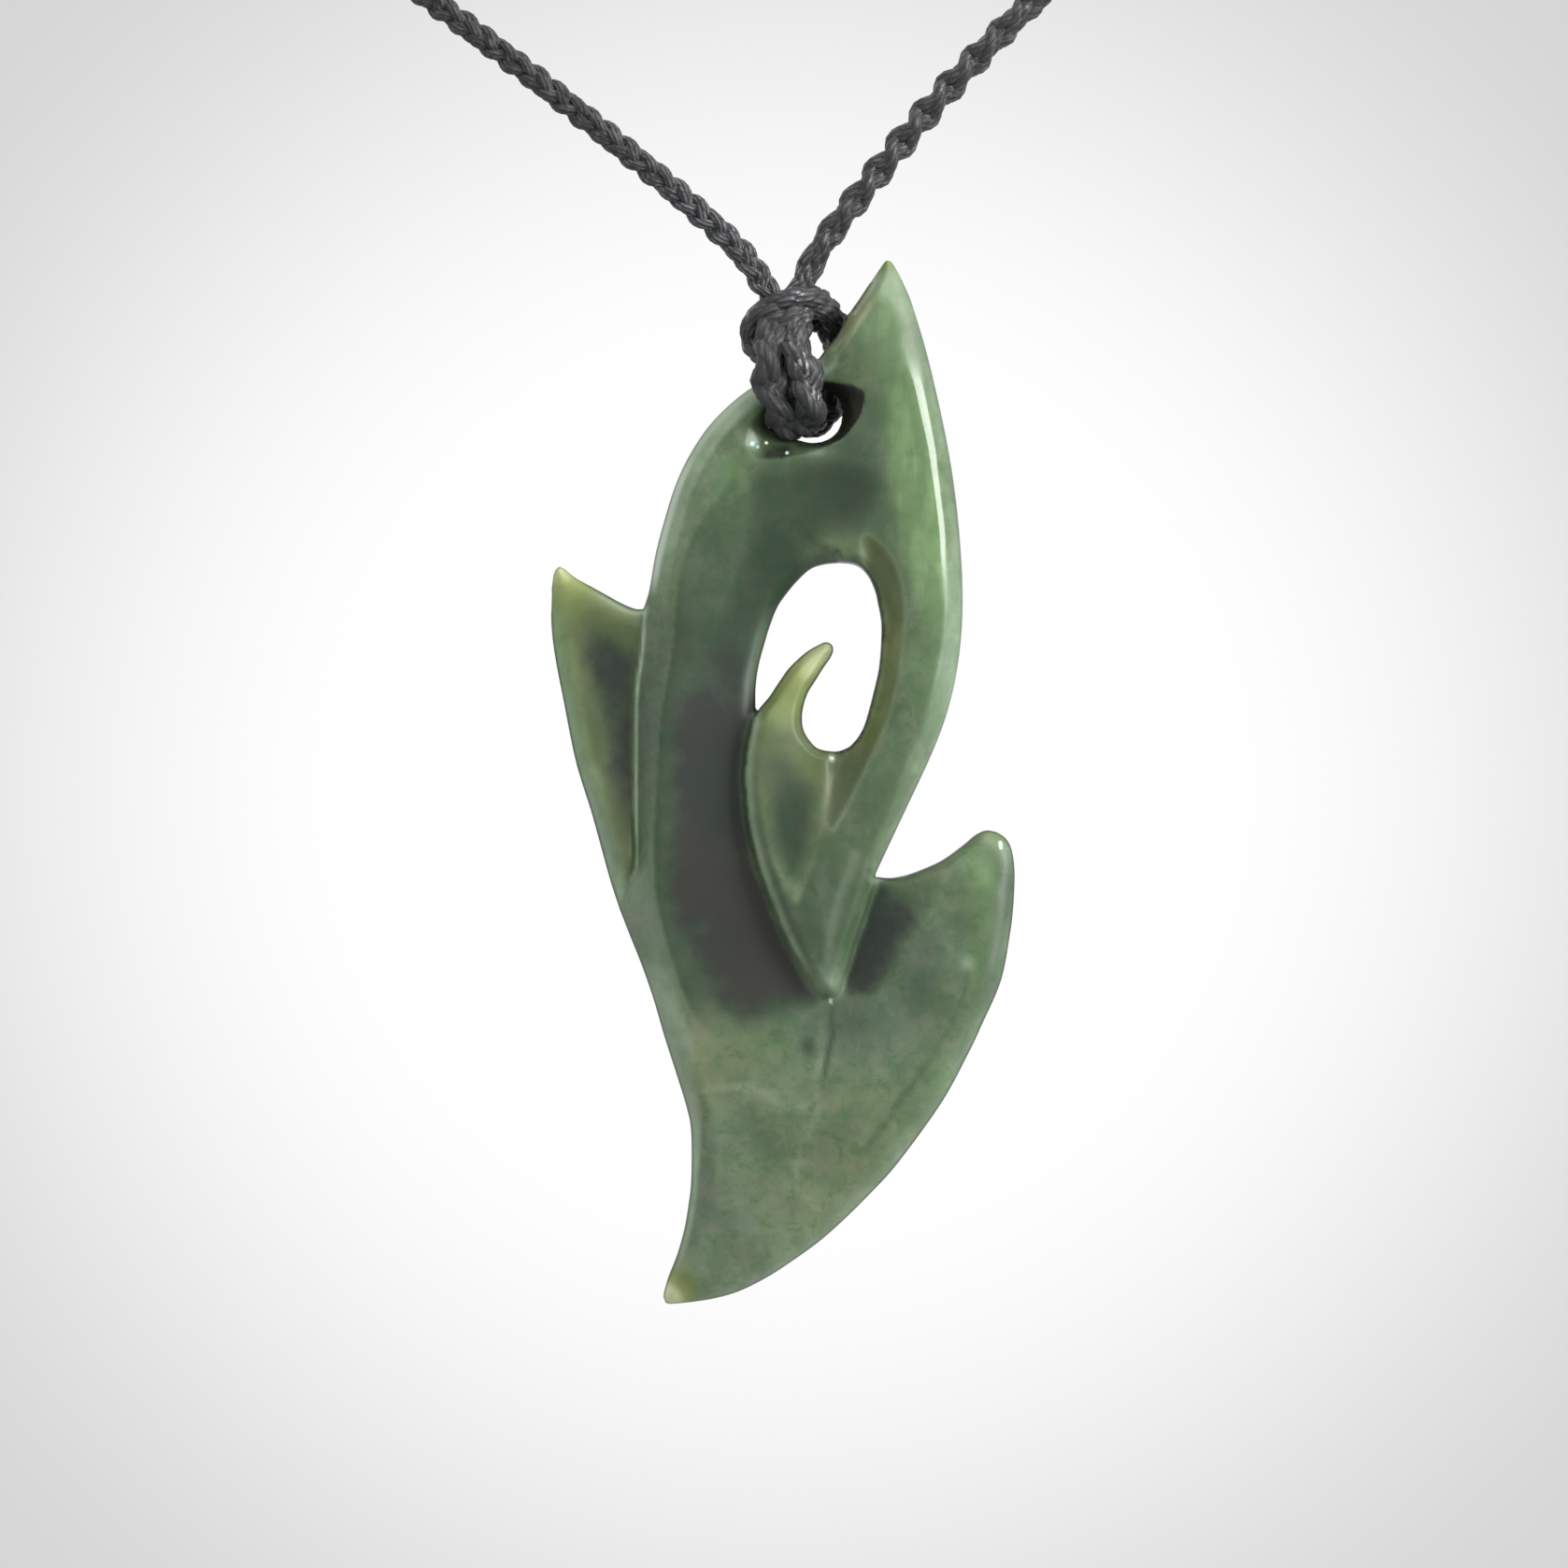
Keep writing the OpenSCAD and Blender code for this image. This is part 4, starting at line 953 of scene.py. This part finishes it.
def carve():
    """The stone as maps over the (x, z) plane: its relief and the masks for its colours and its painted light
    and shade.
    """
    plan = Plan()
    part = sharp_parts(plan)
    soft = soft_parts(plan, part)
    front, back, rim = relief(plan, part, soft)
    deep = deep_tones_and_shade(plan, part, soft)
    return {"front": front, "back": back, "rim": rim, **deep, **glow_and_highlights(plan, soft),
            "pale": pale_edges(plan, part, soft), "matte": dull_places(plan, part, deep),
            "strand": soft["strand_face"], "crack": plan.strokes(CRACK), "seam": plan.strokes(SEAMS),
            "warm": plan.spots(WARM_SPOTS), "cool": plan.spots(COOL_SPOTS), "leafy": plan.spots(LEAFY_SPOTS)}


# The stone's skin

def sampled(field, x, z):
    """The field at any (x, z), straight between its four nearest points."""
    i = np.clip((x - GRID_LOW[0]) / FIELD_STEP, 0, field.shape[0] - 1.001)
    j = np.clip((z - GRID_LOW[1]) / FIELD_STEP, 0, field.shape[1] - 1.001)
    a, b = i.astype(int), j.astype(int)
    u, v = i - a, j - b
    return (field[a, b] * (1 - u) * (1 - v) + field[a + 1, b] * u * (1 - v)
            + field[a, b + 1] * (1 - u) * v + field[a + 1, b + 1] * u * v)


def soft_least(a, b, k):
    """The smaller of two values, rounded where they are within k of each other."""
    h = np.maximum(k - np.abs(a - b), 0) / k
    return np.minimum(a, b) - h * h * k / 4


def stone_depth(maps, x, y, z):
    """How deep a point lies in the stone: the least of its depths under the front, before the back
    and in from the outline, with the corners between them rounded."""
    front, back, rim = (sampled(maps[name], x, z) for name in ("front", "back", "rim"))
    return soft_least(soft_least(front + y, back - y, 0.3), rim, 0.7)


def skin(depth, low, high, step):
    """Surface nets: each grid cell that the surface passes through gets one point, the mean of the
    crossings on its edges, and each grid edge that the surface crosses gets one face of four such
    points. Returns points and faces that look outwards."""
    axes = [np.arange(a, b + step, step) for a, b in zip(low, high)]
    value = depth(*np.meshgrid(*axes, indexing="ij"))
    solid = value > 0
    corners = [(i, j, k) for i in (0, 1) for j in (0, 1) for k in (0, 1)]
    cells = tuple(n - 1 for n in solid.shape)

    def at(array, offset):
        return array[tuple(slice(o, o + n) for o, n in zip(offset, cells))]

    count = sum(at(solid, o).astype(np.int8) for o in corners)
    used = np.argwhere((count > 0) & (count < 8))
    level = {o: value[tuple((used + o).T)] for o in corners}
    total = np.zeros((len(used), 3))
    hits = np.zeros(len(used))
    for o in corners:
        for axis in range(3):
            if o[axis]:
                continue
            e = tuple(1 if k == axis else v for k, v in enumerate(o))
            crosses = (level[o] > 0) != (level[e] > 0)
            share = np.where(crosses, level[o] / np.where(crosses, level[o] - level[e], 1), 0)
            place = np.array(o, float) + share[:, None] * (np.array(e) - np.array(o))
            total += place * crosses[:, None]
            hits += crosses
    points = np.array(low) + step * (used + total / hits[:, None])
    number = np.full(cells, -1, np.int64)
    number[tuple(used.T)] = np.arange(len(used))
    faces = []
    for axis in range(3):
        first = np.take(solid, range(solid.shape[axis] - 1), axis=axis)
        second = np.take(solid, range(1, solid.shape[axis]), axis=axis)
        for leaves in (True, False):
            here = np.argwhere(first & ~second if leaves else ~first & second)
            u, v = (axis + 1) % 3, (axis + 2) % 3
            ring = []
            for du, dv in ((-1, -1), (0, -1), (0, 0), (-1, 0)):
                cell = here.copy()
                cell[:, u] += du
                cell[:, v] += dv
                ring.append(number[tuple(cell.T)])
            ring = np.stack(ring, axis=1)
            faces.append(ring if leaves else ring[:, ::-1])
    return points, np.vstack(faces)


def settle(depth, points, rounds=4, h=0.08):
    """Moves each point along the slope of the depth until the depth is nothing, but no further than
    leaves the faces unfolded, and gives the outward direction there."""
    start, reach = points, 0.25 * STONE_STEP
    for turn in range(rounds + 1):
        value = depth(*points.T)
        sides = [(points + h * e, points - h * e) for e in np.eye(3)]
        slope = np.stack([depth(*ahead.T) - depth(*behind.T) for ahead, behind in sides], axis=1) / (2 * h)
        size = np.maximum(np.linalg.norm(slope, axis=1), 0.2)
        if turn < rounds:
            move = np.clip(value / size**2, -0.15, 0.15)
            points = start + np.clip(points - slope * move[:, None] - start, -reach, reach)
    return points, -slope / size[:, None]


# The stone's finish and piece

# The tones that its colour is mixed from, where one with several goes from the first to the last. Some
# are painted light: the shade, the pale reflections, the highlights and glints, the glow where it is
# thin, the bright strand and the dark outline round the edge.
TONES = {
    "body": [(0.090, 0.140, 0.068), (0.122, 0.178, 0.094)],
    "grain": [(0.066, 0.108, 0.056), (0.170, 0.215, 0.140)],
    "mottle": [(0.060, 0.118, 0.042), (0.152, 0.165, 0.110)],
    "warm": [(0.160, 0.180, 0.095)],
    "cool": [(0.100, 0.140, 0.110)],
    "leafy": [(0.080, 0.155, 0.055)],
    "bright": [(0.160, 0.262, 0.110), (0.225, 0.330, 0.150)],
    "streak": [(0.070, 0.125, 0.055)],
    "seam": [(0.205, 0.250, 0.165)],
    "olive": [(0.084, 0.116, 0.037), (0.138, 0.170, 0.072)],
    "shade": [(0.026, 0.044, 0.022), (0.016, 0.044, 0.018)],
    "night": [(0.020, 0.020, 0.015), (0.012, 0.020, 0.014)],
    "pale": [(0.262, 0.345, 0.240)],
    "painted_highlight": [(0.480, 0.540, 0.470), (0.86, 0.94, 0.90)],
    "glow": [(0.155, 0.202, 0.060), (0.236, 0.280, 0.100), (0.440, 0.500, 0.280)],
    "cream_and_glint": [(0.240, 0.235, 0.110)],
    "crack": [(0.012, 0.026, 0.018)],
    "rim": [(0.020, 0.028, 0.018)],
}


def jade():
    """Polished nephrite: mottled greens, near black in the deep hollows, olive on the inner facet, with a few
    pale veins and cloudy patches, and painted light over them: a yellow green glow where it is thin,
    brighter green on the strand's right side, shade in the hollows, pale reflections, highlights and
    glints on the edges, and a dark outline round the edge."""
    f = Finish("polished_nephrite", (0.11, 0.16, 0.09), IOR=1.5, Specular_IOR_Level=0.42,
               Subsurface_Weight=0.12, Subsurface_Radius=(0.7, 1.0, 0.4), Subsurface_Scale=0.001)
    where = f.place()
    cloud = f.noise(where, 130.0, 6.0, 0.62)
    drift = f.noise(where, 300.0, 4.0, 0.6)
    grain = f.noise(where, 560.0, 6.0, 0.66)
    mottle = f.noise(where, 950.0, 6.0, 0.7, 0.6)
    streaks = f.noise(f.vector("MULTIPLY", where, (1.0, 1.0, 0.2)), 900.0, 3.0)
    bright, dark, painted_highlight = (f.attribute(name) for name in ("bright", "dark", "painted_highlight"))
    ragged = dark + ((drift - 0.5) * 1.5 + (grain - 0.5) * 0.8) * dark.step(0.02, 0.35)
    glow = f.attribute("glow") + (cloud - 0.5) * 0.2

    def layer(name, share, colour, tone=0):
        """A share of one of the stone's tones over the colour so far."""
        return f.blend(share, colour, TONES[name][tone])

    colour = f.blend(cloud.step(0.40, 0.62), *TONES["body"])
    colour = layer("grain", grain.step(0.54, 0.42) * 0.6, colour)
    colour = layer("grain", grain.step(0.54, 0.66) * 0.5, colour, 1)
    for name in ("warm", "cool", "leafy"):
        colour = layer(name, f.attribute(name) * (drift.step(0.35, 0.6) * 0.6 + 0.4), colour)
    colour = layer("mottle", mottle.step(0.53, 0.64) * 0.7, colour)
    colour = layer("mottle", mottle.step(0.47, 0.38) * 0.5, colour, 1)
    # Painted light: brighter green where light comes through the strand's right side and the fin's rim
    colour = layer("bright", bright * (grain.step(0.36, 0.62) * 0.4 + 0.6), colour)
    colour = layer("bright", bright * drift.step(0.50, 0.64) * 0.6, colour, 1)
    colour = layer("streak", f.attribute("strand") * streaks.step(0.56, 0.44) * 0.4, colour)
    colour = layer("seam", f.attribute("seam") * grain.step(0.40, 0.56) * 0.5, colour)
    colour = f.blend(f.attribute("olive"), colour, f.blend(drift.step(0.38, 0.60), *TONES["olive"]))
    shade = f.blend(mottle.step(0.45, 0.60), *TONES["shade"])
    colour = f.blend(f.attribute("shade") * (drift * 0.6 + 0.7), colour, shade)
    colour = f.blend(ragged.step(0.2, 0.8), colour, f.blend(cloud.step(0.42, 0.58), *TONES["night"]))
    # Painted reflections and light: pale on the edges, the facets and the thin tips
    uneven = cloud.step(0.3, 0.6) * 0.2 + grain.step(0.38, 0.58) * 0.3 + 0.65
    colour = layer("pale", f.attribute("pale") * uneven, colour)
    # Painted highlights and reflections on the edges and in small glints, white at their cores
    colour = layer("painted_highlight", painted_highlight, colour)
    colour = layer("painted_highlight", painted_highlight.step(1.1, 1.7), colour, 1)
    colour = glinted(f, where, colour)
    # Painted glow of light through the thin tips and the hook, from yellow green to pale
    colour = layer("glow", glow.step(0.08, 0.5), colour)
    colour = layer("glow", glow.step(0.42, 0.85), colour, 1)
    colour = layer("glow", glow.step(0.78, 1.05), colour, 2)
    # Yellow beige along the ridge and the horn's left chamfer, with a painted warm glint on the horn
    colour = layer("cream_and_glint", f.attribute("cream_and_glint") * 0.5, colour)
    colour = layer("crack", f.attribute("crack") * grain.step(0.35, 0.6), colour)
    # Painted shade: a dark outline round the edge, lighter where the light falls on the right edge
    unlit = 0.85 - f.attribute("lit_edge") * 0.65
    colour = layer("rim", f.attribute("rim").step(0.20, 0.03) * unlit, colour)
    f.feed("Base Color", colour)
    f.feed("Roughness", f.attribute("matte") * 0.41 + 0.09)
    f.feed("Normal", f.bump(f.noise(where, 260.0, 2.0), 0.04, 0.0004))
    return f.material


def glinted(f, where, colour):
    """The colour with the small glints on the front over it, each full out to half its radius and gone
    at 1.2 of it."""
    flat = f.vector("MULTIPLY", where, (1.0, 0.0, 1.0))
    front = f.attribute("front_side")
    for x, z, radius, share, tone in GLINTS:
        away = f.vector("DISTANCE", flat, ((x + BAR[0]) * MM, 0.0, (z + BAR[2]) * MM), "Value")
        spot = away.step(1.2 * radius * MM, 0.5 * radius * MM)
        colour = f.blend(spot * front * share, colour, tone)
    return colour


def stone():
    """The carving in one closed skin, with the masks that its colour follows kept at its points. The
    colours of the front fade out round the edge."""
    maps = carve()

    def depth(x, y, z):
        return stone_depth(maps, x, y, z)

    points, faces = skin(depth, SKIN_LOW, SKIN_HIGH, STONE_STEP)
    points, outward = settle(depth, points)
    front_side = smoothstep(0.3, -0.1, outward[:, 1])
    masks = {name: sampled(field, points[:, 0], points[:, 2]) for name, field in maps.items()
             if name not in ("front", "back")}
    for name in masks.keys() - {"rim", "glow", "matte", "seam", "lit_edge"}:
        masks[name] = masks[name] * front_side
    masks["front_side"] = front_side
    piece = mesh_object("carved_stone", points, faces, "pendant", "stone", masks)
    piece.data.normals_split_custom_set_from_vertices(outward.astype(np.float32))
    piece.data.materials.append(jade())
    print("stone", len(points), "points", len(faces), "faces")


stone()


# Studio

def sheet(name, half, spot, tilt, material):
    """A flat square of that half width in metres, level before it is tilted about x."""
    mesh = bpy.data.meshes.new(name)
    mesh.from_pydata([(-half, -half, 0), (half, -half, 0), (half, half, 0), (-half, half, 0)], [],
                     [(0, 1, 2, 3)])
    mesh.materials.append(material)
    piece = bpy.data.objects.new(name, mesh)
    piece.location = spot
    piece.rotation_euler = (math.radians(tilt), 0, 0)
    bpy.context.scene.collection.objects.link(piece)


def stage():
    """A wall far behind that glows white in the middle and is greyed towards its corners by painted
    shade, and a pale floor far below.
    """
    x, z = VIEW_CENTRE
    wall_y, floor_z = 3.0, -1.6
    white_to, grey_from = 0.306, 0.888    # metres from the middle of the wall
    white, grey = (1.0, 1.0, 1.0), (0.67, 0.67, 0.67)
    glowing_wall = bpy.data.materials.new("glowing_backdrop")
    f = Nodes(glowing_wall, "Material Output")
    f.nodes.remove(f.nodes["Principled BSDF"])
    # Painted shade: the glowing wall fades from white to grey away from its middle
    out = f.vector("LENGTH", f.place(), output="Value")
    shade = f.add("ShaderNodeMapRange", {"interpolation_type": "SMOOTHSTEP"},
                  {0: out, 1: white_to, 2: grey_from})
    falloff_tone = f.blend(shade, white, grey)
    f.feed("Surface", f.add("ShaderNodeEmission", {}, {"Color": falloff_tone, "Strength": 1.0}))
    sheet("backdrop", 1.5, ((BAR[0] + x) * MM, wall_y, (BAR[2] + z) * MM), 90.0, glowing_wall)
    floor = Finish("pale_floor", (0.8, 0.8, 0.8), Roughness=0.9)
    sheet("floor", 4.0, (0.0, 0.0, floor_z), 0.0, floor.material)


def lamp(name, spot, aim, size, power, tall=None, colour=(1.0, 1.0, 1.0)):
    """A soft rectangular light at spot, turned to aim, both in mm from the bar, its size in metres."""
    data = bpy.data.lights.new(name, "AREA")
    data.shape = "RECTANGLE"
    data.size, data.size_y = size, tall or size
    data.energy, data.color = power, colour
    light = bpy.data.objects.new(name, data)
    here, there = (Vector((BAR + p) * MM) for p in (np.array(spot, float), np.array(aim, float)))
    light.location = here
    light.rotation_euler = (there - here).to_track_quat("-Z", "Y").to_euler()
    bpy.context.scene.collection.objects.link(light)


def surround():
    """Even pale light from all round, a quarter as strong from straight behind, but the same in each
    direction where the camera sees it."""
    world = bpy.data.worlds.new("studio")
    bpy.context.scene.world = world
    f = Nodes(world, "Background")
    f.last.inputs["Color"].default_value = (0.93, 0.94, 0.95, 1.0)
    way = f.vector("DOT_PRODUCT", f.add("ShaderNodeTexCoord", output="Generated"), (0.0, 1.0, 0.0), "Value")
    seen = f.add("ShaderNodeLightPath", output="Is Camera Ray")
    share = way.step(0.95, 0.55) * 0.75 + 0.25
    f.feed("Strength", share * 0.8 + seen * (0.8 - share * 0.8))


def lamps():
    """A tall window to the right, a broad one to the left, one above and a weak one behind, and a small
    warm lamp that lights the cord."""
    middle = (0.0, 0.0, -27.0)
    lamp("window_right", (620.0, -270.0, 150.0), (8.0, 0.0, -5.0), 0.33, 6.1, tall=0.40)
    lamp("window_left", (-600.0, -250.0, 200.0), middle, 0.9, 0.9)
    lamp("glint_left", (-350.0, -450.0, 400.0), (2.0, 0.0, 2.0), 0.06, 0.2, colour=(1.0, 0.8, 0.45))
    lamp("top", (60.0, -150.0, 620.0), middle, 0.5, 2.2)
    lamp("behind", (-250.0, 700.0, 300.0), middle, 0.6, 0.8)


bpy.context.scene.view_settings.view_transform = "Standard"
stage()
surround()
lamps()
